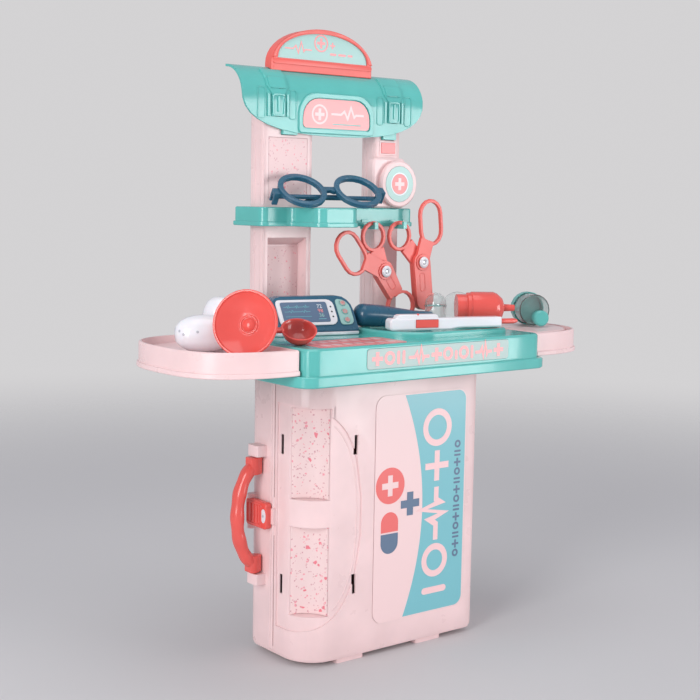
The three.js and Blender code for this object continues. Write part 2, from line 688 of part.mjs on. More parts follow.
const coverFront = column.back - column.cover;
const coverZone = box(-caseWidth, caseWidth, coverFront, column.back, 0, caseHeight * 3);
const mouldZone = box(-caseWidth, caseWidth, 0, coverFront - seatGap, 0, caseHeight * 3);
for (const [side, span] of Object.entries(columnSpans)) {
  const [left, right] = span;
  const middle = (left + right) / 2;
  const whole = columnBlock(span, 0).intersect(alongX(columnNose(), left - overrun, right + overrun));
  const hollow = columnBlock(span, wall).intersect(box(
    left, right, column.front, column.back, column.foot - overrun, canopy.bend - wall));
  let mould = cut(whole, hollow).intersect(mouldZone);
  const slotCut = box(
    middle - tab.halfWidth - slideGap, middle + tab.halfWidth + slideGap, column.front - overrun,
    column.front + wall + overrun, tab.low - slideGap, tab.high + slideGap);
  if (side === "left") {
    const insertLeft = left + insertBorder;
    const insertRight = right - insertBorder;
    mould = cut(mould, box(
      insertLeft, insertRight, column.front - overrun, column.front + column.recess, upperInsert.low, upperInsert.high));
    const tub = (grow) => alongX(polygon([
      [column.front - (grow ? 0 : overrun), lowerPocket.low - grow],
      [column.front + lowerPocket.depth + grow, lowerPocket.low - grow],
      [column.front + lowerPocket.depth + grow, lowerPocket.high - lowerPocket.chamfer + grow],
      [column.front - (grow ? 0 : overrun), lowerPocket.high + grow],
    ]), insertLeft - grow, insertRight + grow);
    mould = cut(fuse(mould, tub(wall * 0.6).intersect(mouldZone)), tub(0));
    place("left_column_upper_insert", box(
      insertLeft + seatGap, insertRight - seatGap, column.front + column.recess - seatGap - labelThickness,
      column.front + column.recess - seatGap, upperInsert.low + seatGap, upperInsert.high - seatGap), speckle);
    const skinBack = column.front + lowerPocket.depth - seatGap;
    place("left_column_lower_insert", box(
      insertLeft + seatGap, insertRight - seatGap, skinBack - labelThickness, skinBack,
      lowerPocket.low + seatGap, lowerPocket.high - lowerPocket.chamfer - wall), speckle);
  } else {
    const labelBlock = (grow, depth) => box(
      middle - columnLabel.halfWidth - grow, middle + columnLabel.halfWidth + grow,
      column.front - depth, column.front + wall / 2, columnLabel.low - grow, columnLabel.high + grow);
    mould = fuse(mould, labelBlock(columnLabel.border / 2, columnLabel.rise));
    mould = cut(mould, box(
      middle - columnLabel.halfWidth - seatGap, middle + columnLabel.halfWidth + seatGap,
      column.front - columnLabel.rise * 2, column.front - columnLabel.rise + labelRecess,
      columnLabel.low - seatGap, columnLabel.high + seatGap));
    const labelBack = column.front - columnLabel.rise + labelRecess - seatGap;
    place("right_column_label", box(
      middle - columnLabel.halfWidth, middle + columnLabel.halfWidth, labelBack - labelThickness, labelBack,
      columnLabel.low, columnLabel.high), gloss.coral);
  }
  // Ledge that the shelf rests on, just under its top plate
  const ledgeTop = shelf.top - wall - seatGap;
  mould = fuse(mould, box(
    left + wall, right - wall, column.front - wall, column.front + wall / 2, ledgeTop - wall, ledgeTop));
  place(`${side}_column`, cut(mould, slotCut), matte.pink);
  const cover = whole.intersect(coverZone);
  const lighten = box(
    left + wall * 2, right - wall * 2, coverFront - overrun, column.back - wall / 2,
    column.foot + wall * 2, canopy.bend - wall * 2);
  place(`${side}_column_cover`, cut(cover, lighten), matte.pink);
}

// Badge on the right column
const blockBack = column.front - seatGap;
const blockFront = blockBack - badgeBlock.depth;
const blockLow = shelf.top + seatGap;
place("badge_block", alongY(
  rounded(badgeBlock.left, column.outer, blockLow, badgeBlock.high, badgeBlock.radius),
  blockFront, blockBack, badgeBlock.edge), matte.pink);
const badgeBack = blockFront - seatGap;
const badgeFront = badgeBack - badge.thick;
place("badge_disc", cut(
  alongY(circle(badge.x, badge.z, badge.radius), badgeFront, badgeBack, badge.rim),
  discY(badge.x, badge.z, badge.label + seatGap, badgeFront - overrun, badgeFront + badge.rim / 2),
), matte.pink);
const badgeLabelBack = badgeFront + badge.rim / 2 - seatGap;
place("badge_label", discY(
  badge.x, badge.z, badge.label, badgeLabelBack - labelThickness, badgeLabelBack), print.mint);

// Shelf: thin moulding open below, with a tongue to the front and two hooks
function shelfOutline(grow) {
  const { left, right, front, radius, fillet } = tongueShelf;
  const outline = new THREE.Shape();
  const edge = shelf.radius + grow;
  const nose = radius + grow;
  const inner = fillet - grow;
  const frontY = shelf.front - grow;
  outline.moveTo(-shelf.halfWidth - grow + edge, frontY);
  outline.lineTo(left - grow - inner, frontY);
  outline.absarc(left - grow - inner, frontY - inner, inner, Math.PI / 2, 0, true);
  outline.lineTo(left - grow, front - grow + nose);
  outline.absarc(left - grow + nose, front - grow + nose, nose, Math.PI, 1.5 * Math.PI, false);
  outline.lineTo(right + grow - nose, front - grow);
  outline.absarc(right + grow - nose, front - grow + nose, nose, -Math.PI / 2, 0, false);
  outline.lineTo(right + grow, frontY - inner);
  outline.absarc(right + grow + inner, frontY - inner, inner, Math.PI, Math.PI / 2, true);
  outline.lineTo(shelf.halfWidth + grow - edge / 2, frontY);
  outline.absarc(shelf.halfWidth + grow - edge / 2, frontY + edge / 2, edge / 2, -Math.PI / 2, 0, false);
  outline.lineTo(shelf.halfWidth + grow, shelf.back + grow);
  outline.lineTo(-shelf.halfWidth - grow, shelf.back + grow);
  outline.lineTo(-shelf.halfWidth - grow, frontY + edge);
  outline.absarc(-shelf.halfWidth - grow + edge, frontY + edge, edge, Math.PI, 1.5 * Math.PI, false);
  return outline;
}
const shelfLow = shelf.top - shelf.height;
let shelfBody = fuse(
  alongZ(shelfOutline(-shelf.lip), shelfLow + shelf.lipHeight / 2, shelf.top, 1),
  alongZ(shelfOutline(0), shelfLow, shelfLow + shelf.lipHeight, 0.7),
);
shelfBody = cut(shelfBody, alongZ(shelfOutline(-shelf.lip - wall), shelfLow - overrun, shelf.top - wall));
for (const [left, right] of Object.values(columnSpans)) {
  shelfBody = cut(shelfBody, box(
    left - slideGap, right + slideGap, column.front - slideGap, column.back + slideGap,
    shelfLow - overrun, shelf.top + overrun));
}

// Forceps that hang on the hooks, described from their rivets
const bladeThick = 4.2;
const ringWall = 3.9;
const roundRing = 17.5;
const ovalRing = { radius: 18, straight: 19 };
const bladePivotY = 42.4;
const forceps = {
  left: { rivet: [48.1, 411.6], round: [-13.2, 39.1], oval: [-47.5, 21], ovalTilt: 38, blade: 34, front: "oval", jaws: true, forward: 1 },
  right: { rivet: [107.8, 420.7], round: [-30.7, 30.5], oval: [13.1, 46], ovalTilt: 6, blade: 7, front: "oval", jaws: false, forward: 0 },
};
for (const { rivet, round } of Object.values(forceps)) {
  const x = rivet[0] + round[0];
  const top = rivet[1] + round[1] + roundRing - ringWall - seatGap - facetDepth;
  const back = shelf.front + shelf.lip + wall / 2;
  const front = shelf.front - hook.reach;
  shelfBody = fuse(
    shelfBody,
    box(x - hook.width / 2, x + hook.width / 2, front, back, top - hook.thick, top),
    box(x - hook.width / 2, x + hook.width / 2, front, front + hook.tip, top - hook.thick, top + hook.tipRise),
    box(x - hook.width, x + hook.width, back - wall, back, top - hook.thick, shelfLow + shelf.lipHeight * 1.5),
  );
}
place("shelf", shelfBody, matte.mint);

// Canopy: a curved sheet whose lower edge is drawn in like a D, with moulded straps and an arch
function canopyPoint(distance, lift) {
  const arc = canopy.radius * Math.PI / 2;
  if (distance > arc) return [canopy.back - canopy.radius - lift, canopy.bend - (distance - arc)];
  const angle = Math.PI / 2 - distance / canopy.radius;
  const radius = canopy.radius + lift;
  return [canopy.back - radius * Math.cos(angle), canopy.bend + radius * Math.sin(angle)];
}
const canopyArc = canopy.radius * Math.PI / 2;
const canopyLength = canopyArc + canopy.bend - canopy.low;
function canopyHalf(distance) {
  const drawn = distance - (canopyLength - canopy.drop);
  if (drawn <= 0) return canopy.halfWidth;
  const share = Math.min(drawn / canopy.drop, 0.999);
  return canopy.halfWidth * (1 - share ** canopyPowerShare) ** (1 / canopyPowerShare);
}
function canopySheet(distances, spans, lift, sink) {
  return lofted(distances.map((distance, i) => {
    const [left, right] = spans[i];
    const outer = canopyPoint(distance, lift);
    const inner = canopyPoint(distance, -sink);
    return [[left, ...outer], [left, ...inner], [right, ...inner], [right, ...outer]];
  }));
}
const canopyDistances = [];
for (let i = 0; i <= canopy.steps; i += 1) {
  canopyDistances.push((canopyLength - canopy.drop) * i / canopy.steps);
}
for (let i = 1; i <= canopy.cornerSteps; i += 1) {
  const share = Math.sin(Math.PI / 2 * i / canopy.cornerSteps) ** 0.9;
  canopyDistances.push(canopyLength - canopy.drop + canopy.drop * share);
}
const canopySpans = canopyDistances.map((distance) => [-canopyHalf(distance), canopyHalf(distance)]);
let canopyBody = canopySheet(canopyDistances, canopySpans, 0, canopy.wall);

// Moulded strap with a buckle tongue, one near each end
const strapSteps = 7;
const strapDistances = [];
for (let i = 0; i <= strapSteps; i += 1) {
  const share = strap.startShare + (strap.endShare - strap.startShare) * i / strapSteps;
  strapDistances.push(canopyLength * share);
}
for (const side of [-1, 1]) {
  const middle = side * strap.x;
  const spans = strapDistances.map((distance, i) => {
    const half = i > strapSteps / 2 ? strap.tongue : strap.halfWidth;
    return [middle - half, middle + half];
  });
  canopyBody = fuse(canopyBody, canopySheet(strapDistances, spans, strap.rise, canopy.wall / 2));
  const frameDistances = strapDistances.slice(Math.ceil(strapSteps / 2));
  for (const rail of [-1, 1]) {
    const railMiddle = middle + rail * (strap.halfWidth - 1.5);
    const railSpans = frameDistances.map(() => [railMiddle - 1.5, railMiddle + 1.5]);
    canopyBody = fuse(canopyBody, canopySheet(frameDistances, railSpans, strap.rise, canopy.wall / 2));
  }
}
const canopyFace = canopy.back - canopy.radius;
const archOutline = (inset) => rounded(
  arch.left + inset, arch.right - inset, arch.low + inset, arch.high - inset,
  [4, 4, arch.radius - inset / 2, arch.radius - inset / 2]);
const archRing = cut(
  alongY(archOutline(0), canopyFace - arch.rise, canopyFace + canopy.wall / 2, 0.8),
  alongY(archOutline(arch.rim), canopyFace - arch.rise - overrun, canopyFace + canopy.wall),
);
canopyBody = fuse(canopyBody, archRing);

// Tabs that plug into the columns, and the slot that holds the sign
for (const [left, right] of Object.values(columnSpans)) {
  const middle = (left + right) / 2;
  canopyBody = fuse(
    canopyBody,
    box(middle - tab.halfWidth, middle + tab.halfWidth, canopyFace + canopy.wall / 2, column.front + tab.reach,
      tab.low, tab.high),
  );
}
const pegMiddle = sign.front + sign.thick / 2;
canopyBody = cut(canopyBody, box(
  sign.x - signPeg.halfWidth - slideGap, sign.x + signPeg.halfWidth + slideGap,
  pegMiddle - signPeg.depth / 2 - slideGap,
  pegMiddle + signPeg.depth / 2 + slideGap, canopy.bend, canopy.bend + canopy.radius * 2));
place("canopy", canopyBody, matte.mint);
const archInset = arch.rim + arch.inset / 2;
place("canopy_label", alongY(
  archOutline(archInset), canopyFace - seatGap - labelThickness, canopyFace - seatGap), print.rose);

// Sign: a half-round frame with a recessed face on both sides
function domeOutline(inset) {
  const half = sign.halfWidth - inset;
  const rise = sign.rise - inset - (inset ? sign.sill - sign.rim : 0);
  const base = inset ? sign.low + sign.sill : sign.low;
  const foot = inset ? base : base - sign.skirt;
  const points = [[sign.x - half, foot]];
  const steps = 22;
  for (let i = 0; i <= steps; i += 1) {
    const angle = Math.PI * (1 - i / steps);
    points.push([sign.x + half * Math.cos(angle), base + sign.recess + (rise - sign.recess) * Math.sin(angle)]);
  }
  points.push([sign.x + half, foot]);
  return polygon(points);
}
const signBack = sign.front + sign.thick;
const signFrame = cut(
  fuse(
    alongY(domeOutline(0), sign.front, signBack, sign.edge),
  ),
  alongY(domeOutline(sign.rim), sign.front - overrun, sign.front + sign.recess),
  alongX(circle(canopy.back, canopy.bend, canopy.radius + seatGap + facetDepth), -caseWidth, caseWidth),
).add(box(
  sign.x - signPeg.halfWidth, sign.x + signPeg.halfWidth, pegMiddle - signPeg.depth / 2,
  pegMiddle + signPeg.depth / 2, sign.low - signPeg.length, sign.low + sign.edge * 2));
place("sign_frame", signFrame, gloss.coral);
place("sign_label", alongY(
  domeOutline(sign.rim + seatGap), sign.front + sign.recess - seatGap - labelThickness,
  sign.front + sign.recess - seatGap), print.mint);

// Forceps: two halves that lie one behind the other and turn on a rivet
const rivet = { bore: 3.2, shaft: 2.9, head: 5.6, headThick: 1.6, boss: 9.6, bossRise: 1.1 };
const jaw = { distance: 49, radius: 18.7, wall: 3.4, halfWidth: 12.3, lowHalfWidth: 10 };
const flatBlade = { length: 44, halfWidth: 12.3 };

function rotate([x, z], degrees) {
  const angle = THREE.MathUtils.degToRad(degrees);
  return [x * Math.cos(angle) - z * Math.sin(angle), x * Math.sin(angle) + z * Math.cos(angle)];
}

function stadium([x, z], radius, straight, tilt) {
  const points = [];
  const steps = 8;
  for (const end of [0, 1]) {
    for (let i = 0; i <= steps; i += 1) {
      const angle = Math.PI * (end + i / steps);
      const offset = end ? -straight / 2 : straight / 2;
      points.push(rotate([radius * Math.cos(angle), radius * Math.sin(angle) + offset], tilt));
    }
  }
  return polygon(points.map(([u, v]) => [x + u, z + v]));
}

function ringSolid(middle, radius, straight, tilt, front, back) {
  return cut(
    alongY(stadium(middle, radius, straight, tilt), front, back, 1),
    alongY(stadium(middle, radius - ringWall, straight, tilt), front - overrun, back + overrun),
  );
}

// Plate that narrows from the pivot to one side of a ring
function armSolid(target, halfNear, halfFar, front, back) {
  const length = Math.hypot(...target);
  const across = [-target[1] / length, target[0] / length];
  const corner = (point, half) => [point[0] + across[0] * half, point[1] + across[1] * half];
  return alongY(polygon([
    corner([0, 0], halfNear), corner([0, 0], -halfNear), corner(target, -halfFar), corner(target, halfFar),
  ]), front, back);
}

function forcepsHalf(item, ring, jawSide, front, back, boss) {
  const isRound = ring === "round";
  const middle = item[ring];
  const radius = isRound ? roundRing : ovalRing.radius;
  const straight = isRound ? 0 : ovalRing.straight;
  const tilt = isRound ? 0 : item.ovalTilt;
  const reach = Math.hypot(...middle);
  const rim = radius + straight / 4 - ringWall / 2;
  const target = middle.map((value) => value * (reach - rim) / reach);
  const down = rotate([0, -jaw.distance], item.blade);
  const reachDown = item.jaws ? jaw.distance - jaw.radius + jaw.wall / 2 : flatBlade.length;
  const bladeEnd = rotate([0, -reachDown], item.blade);
  const arc = [];
  const steps = 9;
  for (const [size, turn] of [[jaw.radius, 1], [jaw.radius - jaw.wall, -1]]) {
    for (let i = 0; i <= steps; i += 1) {
      const share = turn > 0 ? i / steps : 1 - i / steps;
      const angle = 100 - share * 182;
      const point = rotate([size * Math.cos(angle * Math.PI / 180) * jawSide, size * Math.sin(angle * Math.PI / 180)],
        item.blade);
      arc.push([down[0] + point[0], down[1] + point[1]]);
    }
  }
  const jawSolid = item.jaws
    ? alongY(polygon(jawSide > 0 ? arc : arc.reverse()), front, back)
    : alongY(circle(...bladeEnd, flatBlade.halfWidth), front, back);
  const body = fuse(
    ringSolid(middle, radius, straight, tilt, front, back),
    armSolid(target, jaw.halfWidth * 0.8, jaw.halfWidth * 0.8, front, back),
    armSolid(bladeEnd, jaw.halfWidth, item.jaws ? jaw.lowHalfWidth : flatBlade.halfWidth, front, back),
    alongY(circle(0, 0, jaw.halfWidth), front, back),
    jawSolid,
  );
  const bossed = boss ? fuse(body, alongY(
    circle(0, 0, rivet.boss), front - rivet.bossRise, (front + back) / 2)) : body;
  return cut(bossed, discY(0, 0, rivet.bore, front - overrun * 2, back + overrun, smallRoundSteps));
}

for (const [side, item] of Object.entries(forceps)) {
  const group = new THREE.Group();
  group.position.set(item.rivet[0], bladePivotY - item.forward * (bladeThick + seatGap), item.rivet[1]);
  model.add(group);
  const inner = seatGap / 2;
  const mirror = Math.sign(item.round[0] - item.oval[0]);
  for (const [ring, name] of [["round", "hung"], ["oval", "free"]]) {
    const isFront = item.front === ring;
    const span = isFront ? [-bladeThick - inner, -inner] : [inner, bladeThick + inner];
    const jawSide = ring === "round" ? -mirror : mirror;
    place(`${side}_forceps_${name}_half`, forcepsHalf(item, ring, jawSide, ...span, isFront), gloss.coral, group);
  }
  const headFront = -bladeThick - inner - rivet.bossRise - seatGap;
  const headBack = bladeThick + inner + seatGap;
  place(`${side}_forceps_rivet`, fuse(
    discY(0, 0, rivet.head, headFront - rivet.headThick, headFront, smallRoundSteps),
    discY(0, 0, rivet.shaft, headFront - rivet.headThick / 2, headBack + rivet.headThick / 2, smallRoundSteps),
    discY(0, 0, rivet.head, headBack, headBack + rivet.headThick, smallRoundSteps),
  ), gloss.white, group);
}

// Glasses that lie back on the shelf, with their temples folded behind the lenses
const lens = { radius: 27, wall: 4.2, spacing: 66.7, thick: 4.2 };
const templeBar = { height: 4.4, thick: 3, length: 98, hookDrop: 11, hookLength: 20, step: 4.6, offset: 2.4 };
const ear = { reach: 8, depth: 12.6, height: 9.8, wall: 3 };
const glassesTilt = { x: 37, z: -11.5 };
const glassesMiddle = { x: -34.5, y: 31, z: 499.5 };
const glasses = new THREE.Group();
glasses.position.set(glassesMiddle.x, glassesMiddle.y, glassesMiddle.z);
glasses.rotation.set(
  THREE.MathUtils.degToRad(glassesTilt.x), 0, THREE.MathUtils.degToRad(glassesTilt.z), "ZYX");
model.add(glasses);

// In the group, X runs along the glasses, Y up their face and Z out of it
function lensRing(x) {
  const ring = cut(
    alongZ(circle(x, 0, lens.radius), -lens.thick / 2, lens.thick / 2, 1.2),
    alongZ(circle(x, 0, lens.radius - lens.wall), -lens.thick, lens.thick),
  );
  return ring;
}
const lensX = lens.spacing / 2;
const hingeX = lensX + lens.radius + ear.reach / 2;
const bridgeHalf = lensX - lens.radius + lens.wall / 2;
let frameSolid = fuse(
  lensRing(-lensX),
  lensRing(lensX),
  cut(
    alongZ(rounded(-bridgeHalf, bridgeHalf, -1, 7, 2.4), -lens.thick / 2, lens.thick / 2),
    alongZ(circle(0, -4, 5.4), -lens.thick, lens.thick),
  ),
);
for (const side of [-1, 1]) {
  const [left, right] = [side * (lensX + lens.radius - lens.wall / 2), side * (hingeX + ear.wall)]
    .sort((a, b) => a - b);
  const middle = side * templeBar.offset;
  const block = box(left, right, middle - ear.height / 2, middle + ear.height / 2, -lens.thick / 2, lens.thick / 2);
  const arms = [-1, 1].map((end) => {
    const [low, high] = [end * (templeBar.height / 2 + seatGap), end * ear.height / 2].sort((a, b) => a - b);
    return box(...[side * (hingeX - ear.wall), side * (hingeX + ear.wall)].sort((a, b) => a - b),
      middle + low, middle + high, -ear.depth, 0);
  });
  frameSolid = fuse(frameSolid, block, ...arms);
}
const templePinRadius = 1.3;
for (const side of [-1, 1]) {
  const depth = -ear.depth + ear.wall + (side > 0 ? 0 : templeBar.step);
  const pivot = [side * hingeX, depth];
  const bore = new THREE.CylinderGeometry(templePinRadius + seatGap, templePinRadius + seatGap, ear.height * 2, 12);
  frameSolid = cut(frameSolid, solidOf(bore.translate(pivot[0], side * templeBar.offset, pivot[1])));
}
place("glasses_frame", frameSolid, gloss.blue, glasses);
for (const side of [-1, 1]) {
  const depth = -ear.depth + ear.wall + (side > 0 ? 0 : templeBar.step);
  const x = side * hingeX;
  const pin = new THREE.CylinderGeometry(templePinRadius, templePinRadius, ear.height, 12);
  const inward = -side;
  const tipX = x + inward * templeBar.length;
  const bendX = tipX - inward * templeBar.hookLength;
  const middle = side * templeBar.offset;
  const half = templeBar.height / 2;
  const outline = [
    [x, middle - half], [x, middle + half], [bendX, middle + half], [tipX, middle + half - templeBar.hookDrop],
    [tipX - inward * half, middle - half - templeBar.hookDrop], [bendX - inward * half, middle - half],
  ];
  const bar = alongZ(
    polygon(side > 0 ? outline : outline.reverse()), depth - templeBar.thick / 2, depth + templeBar.thick / 2);
  const knob = new THREE.CylinderGeometry(templeBar.thick * 0.8, templeBar.thick * 0.8, templeBar.height, 14);
  place(`glasses_${side > 0 ? "right" : "left"}_temple`, fuse(
    bar, solidOf(knob.translate(x, middle, depth)), solidOf(pin.translate(x, middle, depth))), gloss.blue, glasses);
}

// Monitor: wedge housing on a white base, with a screen and three keys on its sloping face
const monitor = { width: 99, depth: 46, height: 36, topDepth: 26, topBack: 40, base: 3.6, corner: 15, taper: 9 };
const monitorPlace = { x: -74.5, y: -6, turn: -11 };
const monitorGroup = new THREE.Group();
monitorGroup.position.set(monitorPlace.x, monitorPlace.y, table.top + seatGap);
monitorGroup.rotation.z = THREE.MathUtils.degToRad(monitorPlace.turn);
model.add(monitorGroup);
const half = monitor.width / 2;
place("monitor_base", alongZ(
  rounded(-half, half, -1.5, monitor.depth, [4, 4, 6, 6]), 0, monitor.base, 0.8), gloss.white, monitorGroup);
const housingLow = monitor.base + seatGap;
const faceStart = { y: 1.5, z: housingLow + 3 };
const faceEnd = { y: monitor.topDepth, z: housingLow + monitor.height };
const faceLength = Math.hypot(faceEnd.y - faceStart.y, faceEnd.z - faceStart.z);
const faceAngle = Math.atan2(faceEnd.z - faceStart.z, faceEnd.y - faceStart.y);
const sideProfile = polygon([
  [0, housingLow], [monitor.depth - 2, housingLow], [monitor.depth - 3, housingLow + 6],
  [monitor.topBack, faceEnd.z - 3], [monitor.topBack - 3, faceEnd.z], [faceEnd.y, faceEnd.z],
  [faceStart.y, faceStart.z], [0, faceStart.z - 1],
]);
const faceOutline = rounded(
  -half + 1, half - 1, housingLow, faceEnd.z, [2, 2, monitor.corner, monitor.corner]);
const key = { radius: 3.4, travel: 1.2, depth: 3.6, rise: 1.4, pitch: 10.6 };
const strip = { left: 29, right: 45, low: 4, high: 36, thick: 0.9 };
const bezel = { left: -42, right: 26, low: 4, high: 36, thick: 1.6 };
const screen = { inset: 5, thick: 0.6 };
const slope = new THREE.Group();
slope.position.set(0, faceStart.y, faceStart.z);
slope.rotation.x = faceAngle;
monitorGroup.add(slope);
const keyPlaces = [0, 1, 2].map((i) => [
  (strip.left + strip.right) / 2, (strip.low + strip.high) / 2 + (1 - i) * key.pitch,
]);
const intoHousing = (solid) => {
  const geometry = geometryOf(solid).rotateX(faceAngle).translate(0, faceStart.y, faceStart.z);
  return solidOf(geometry);
};
const keyBore = (place2, low, high) => {
  const geometry = new THREE.CylinderGeometry(key.radius + seatGap, key.radius + seatGap, high - low, 16);
  return solidOf(geometry.rotateX(Math.PI / 2).translate(place2[0], place2[1], (low + high) / 2));
};
let housing = alongX(sideProfile, -half + 1, half - 1).intersect(alongY(faceOutline, -overrun, monitor.depth));
for (const spot of keyPlaces) housing = cut(housing, intoHousing(keyBore(spot, -key.depth - key.travel, overrun)));
place("monitor_housing", housing, gloss.blue, monitorGroup);
let bezelSolid = alongZ(rounded(bezel.left, bezel.right, bezel.low, bezel.high, [5, 8, 8, 5]),
  seatGap, seatGap + bezel.thick, 0.5);
const screenOutline = (grow) => rounded(
  bezel.left + screen.inset - grow, bezel.right - screen.inset - 4 + grow, bezel.low + screen.inset / 1.4 - grow,
  bezel.high - screen.inset / 1.4 + grow, 2);
bezelSolid = cut(bezelSolid, alongZ(screenOutline(seatGap), bezel.thick - labelRecess, bezel.thick + overrun));
place("monitor_bezel", bezelSolid, gloss.white, slope);
place("monitor_screen", alongZ(
  screenOutline(0), bezel.thick - labelRecess + seatGap, bezel.thick - labelRecess + seatGap + screen.thick),
print.slate, slope);
let stripSolid = alongZ(rounded(strip.left, strip.right, strip.low, strip.high, [3, 6, 12, 3]),
  seatGap, seatGap + strip.thick);
for (const spot of keyPlaces) stripSolid = cut(stripSolid, keyBore(spot, -overrun, overrun * 2));
place("monitor_key_strip", stripSolid, print.mint, slope);
keyPlaces.forEach((spot, i) => {
  const cap = turned([
    [0, -key.depth], [key.radius, -key.depth], [key.radius, strip.thick + key.rise * 0.6],
    [key.radius * 0.8, strip.thick + key.rise], [0, strip.thick + key.rise],
  ], 14);
  const mesh = place(`monitor_key_${i + 1}`, cap, gloss.coral, slope);
  mesh.position.set(spot[0], spot[1], 0);
});

// Two hand lamps: one lies on its side, the other stands on its end
const bulb = { radius: 19, length: 58, flat: 5 };
function bulbProfile(radius, length) {
  const points = [[0, 0]];
  const steps = 10;
  for (let i = 1; i < steps; i += 1) {
    const angle = Math.PI * i / steps;
    const fat = Math.sin(angle) ** 0.75;
    points.push([radius * fat, length * (1 - Math.cos(angle)) / 2]);
  }
  points.push([0, length]);
  return points;
}
const trayFloor = tray.floor + seatGap;
const firstBulb = { x: -192.4, y: -20.3, turn: 162 };
const bulbMesh = place("lying_bulb", turned(bulbProfile(bulb.radius, bulb.length), 18), gloss.white);
bulbMesh.rotation.set(0, Math.PI / 2, THREE.MathUtils.degToRad(firstBulb.turn), "ZYX");
bulbMesh.position.set(firstBulb.x, firstBulb.y, trayFloor + bulb.radius);
const standing = { x: -185, y: 14.5, foot: 9 };
const standingProfile = bulbProfile(bulb.radius, bulb.length).map(([radius, height]) => [radius, height]);
standingProfile.splice(0, 2, [0, bulb.flat], [standing.foot, bulb.flat]);
const standingMesh = place("standing_bulb", turned(standingProfile, 18), gloss.white);
standingMesh.position.set(standing.x, standing.y, trayFloor - bulb.flat);

// Reflector dish that stands on its edge, with a boss in the middle
const dish = { radius: 33, depth: 13, wall: 2.4, rim: 3, boss: 6.5 };
const dishPlace = { x: -204, y: -62, turn: -54, lean: 13 };
const dishProfile = [
  [0, -dish.depth], [dish.radius * 0.7, -dish.depth * 0.75], [dish.radius, 0], [dish.radius, dish.rim],
  [dish.radius - dish.rim, dish.rim], [dish.radius - dish.rim - 0.6, 0.6],
  [dish.radius * 0.66, -dish.depth * 0.75 + dish.wall * 0.9], [dish.boss * 1.7, -dish.depth + dish.wall + 0.6],
  [dish.boss, -dish.depth + dish.wall + 1.2], [dish.boss * 0.75, -dish.depth + dish.boss * 0.9],
  [0, -dish.depth + dish.boss * 1.15],
];
const dishMesh = place("reflector_dish", turned(dishProfile, 26), gloss.coral);
dishMesh.rotation.set(
  THREE.MathUtils.degToRad(90 - dishPlace.lean), 0, THREE.MathUtils.degToRad(dishPlace.turn), "ZYX");
const dishTilt = THREE.MathUtils.degToRad(dishPlace.lean);
dishMesh.position.set(
  dishPlace.x, dishPlace.y, trayFloor + dish.radius * Math.cos(dishTilt) + dish.rim * Math.sin(dishTilt));

// Round bowl with a short stem, tipped forward so that its mouth shows
const bowl = { radius: 18.5, depth: 17, wall: 2, foot: 4, stem: 8, stemWidth: 7, stemThick: 4 };
const bowlPlace = { x: -146.2, y: -68.7, turn: 38, lean: 33 };
const bowlProfile = [[0, 0], [bowl.foot, 0]];
const bowlInner = [];
const bowlSteps = 6;
for (let i = 1; i <= bowlSteps; i += 1) {
  const angle = Math.PI / 2 * i / bowlSteps;
  const [across, up] = [Math.sin(angle), 1 - Math.cos(angle)];
  bowlProfile.push([bowl.foot + (bowl.radius - bowl.foot) * across, bowl.depth * up]);
  bowlInner.push([
    (bowl.radius - bowl.wall) * across, bowl.wall + (bowl.depth - bowl.wall) * up,
  ]);
}
const bowlBody = cut(
  fuse(
    turned(bowlProfile.concat([[0, bowl.depth]])),
    box(-bowl.radius - bowl.stem, -bowl.radius + bowl.wall * 2, -bowl.stemWidth / 2, bowl.stemWidth / 2,
      bowl.depth - bowl.stemThick, bowl.depth),
  ),
  turned([[0, bowl.wall], ...bowlInner, [bowl.radius - bowl.wall, bowl.depth + overrun], [0, bowl.depth + overrun]]),
);
const bowlMesh = place("bowl", bowlBody, gloss.coral);
bowlMesh.rotation.set(
  THREE.MathUtils.degToRad(bowlPlace.lean), 0, THREE.MathUtils.degToRad(-bowlPlace.turn), "ZYX");
const bowlTilt = THREE.MathUtils.degToRad(bowlPlace.lean);
const bowlDrop = Math.max(...bowlProfile.map(([radius, height]) => radius * Math.sin(bowlTilt)
  - height * Math.cos(bowlTilt)));
bowlMesh.position.set(bowlPlace.x, bowlPlace.y, table.top + seatGap + bowlDrop);

// Thermometer that lies across the rim of the basin
const stick = { length: 134, depth: 15, height: 13, handle: 66, taper: 9, plate: 50, plateRise: 4, edge: 1.6 };
const tip = { radius: 3, length: 22, shoulder: 4.6 };
const window1 = { left: 30, width: 26, low: 3, height: 8.4, depth: 2.4, rise: 0.8, travel: 1.2 };
const stickPlace = { x: -13, y: -46.3, turn: -16 };
const rimTop = table.top + basin.rise;
const stickGroup = new THREE.Group();
stickGroup.position.set(stickPlace.x, stickPlace.y, rimTop + seatGap);
stickGroup.rotation.z = THREE.MathUtils.degToRad(stickPlace.turn);
model.add(stickGroup);
const stickSide = new THREE.Shape();
stickSide.moveTo(4, 0);
stickSide.lineTo(stick.handle, 0);
stickSide.bezierCurveTo(stick.handle + 12, 0, stick.handle + 8, 2.2, stick.handle + 22, 2.2);
stickSide.lineTo(stick.length - 2, 2.2);
stickSide.absarc(stick.length - 2, 4.2, 2, -Math.PI / 2, 0, false);
stickSide.absarc(stick.length - 2, stick.height - 2, 2, 0, Math.PI / 2, false);
stickSide.lineTo(4, stick.height);
stickSide.absarc(4, stick.height - 4, 4, Math.PI / 2, Math.PI, false);
stickSide.absarc(4, 4, 4, Math.PI, 1.5 * Math.PI, false);
const windowBox = (grow, front, back) => box(
  window1.left - grow, window1.left + window1.width + grow, front, back,
  window1.low - grow, window1.low + window1.height + grow);
const stickFront = -stick.depth / 2;
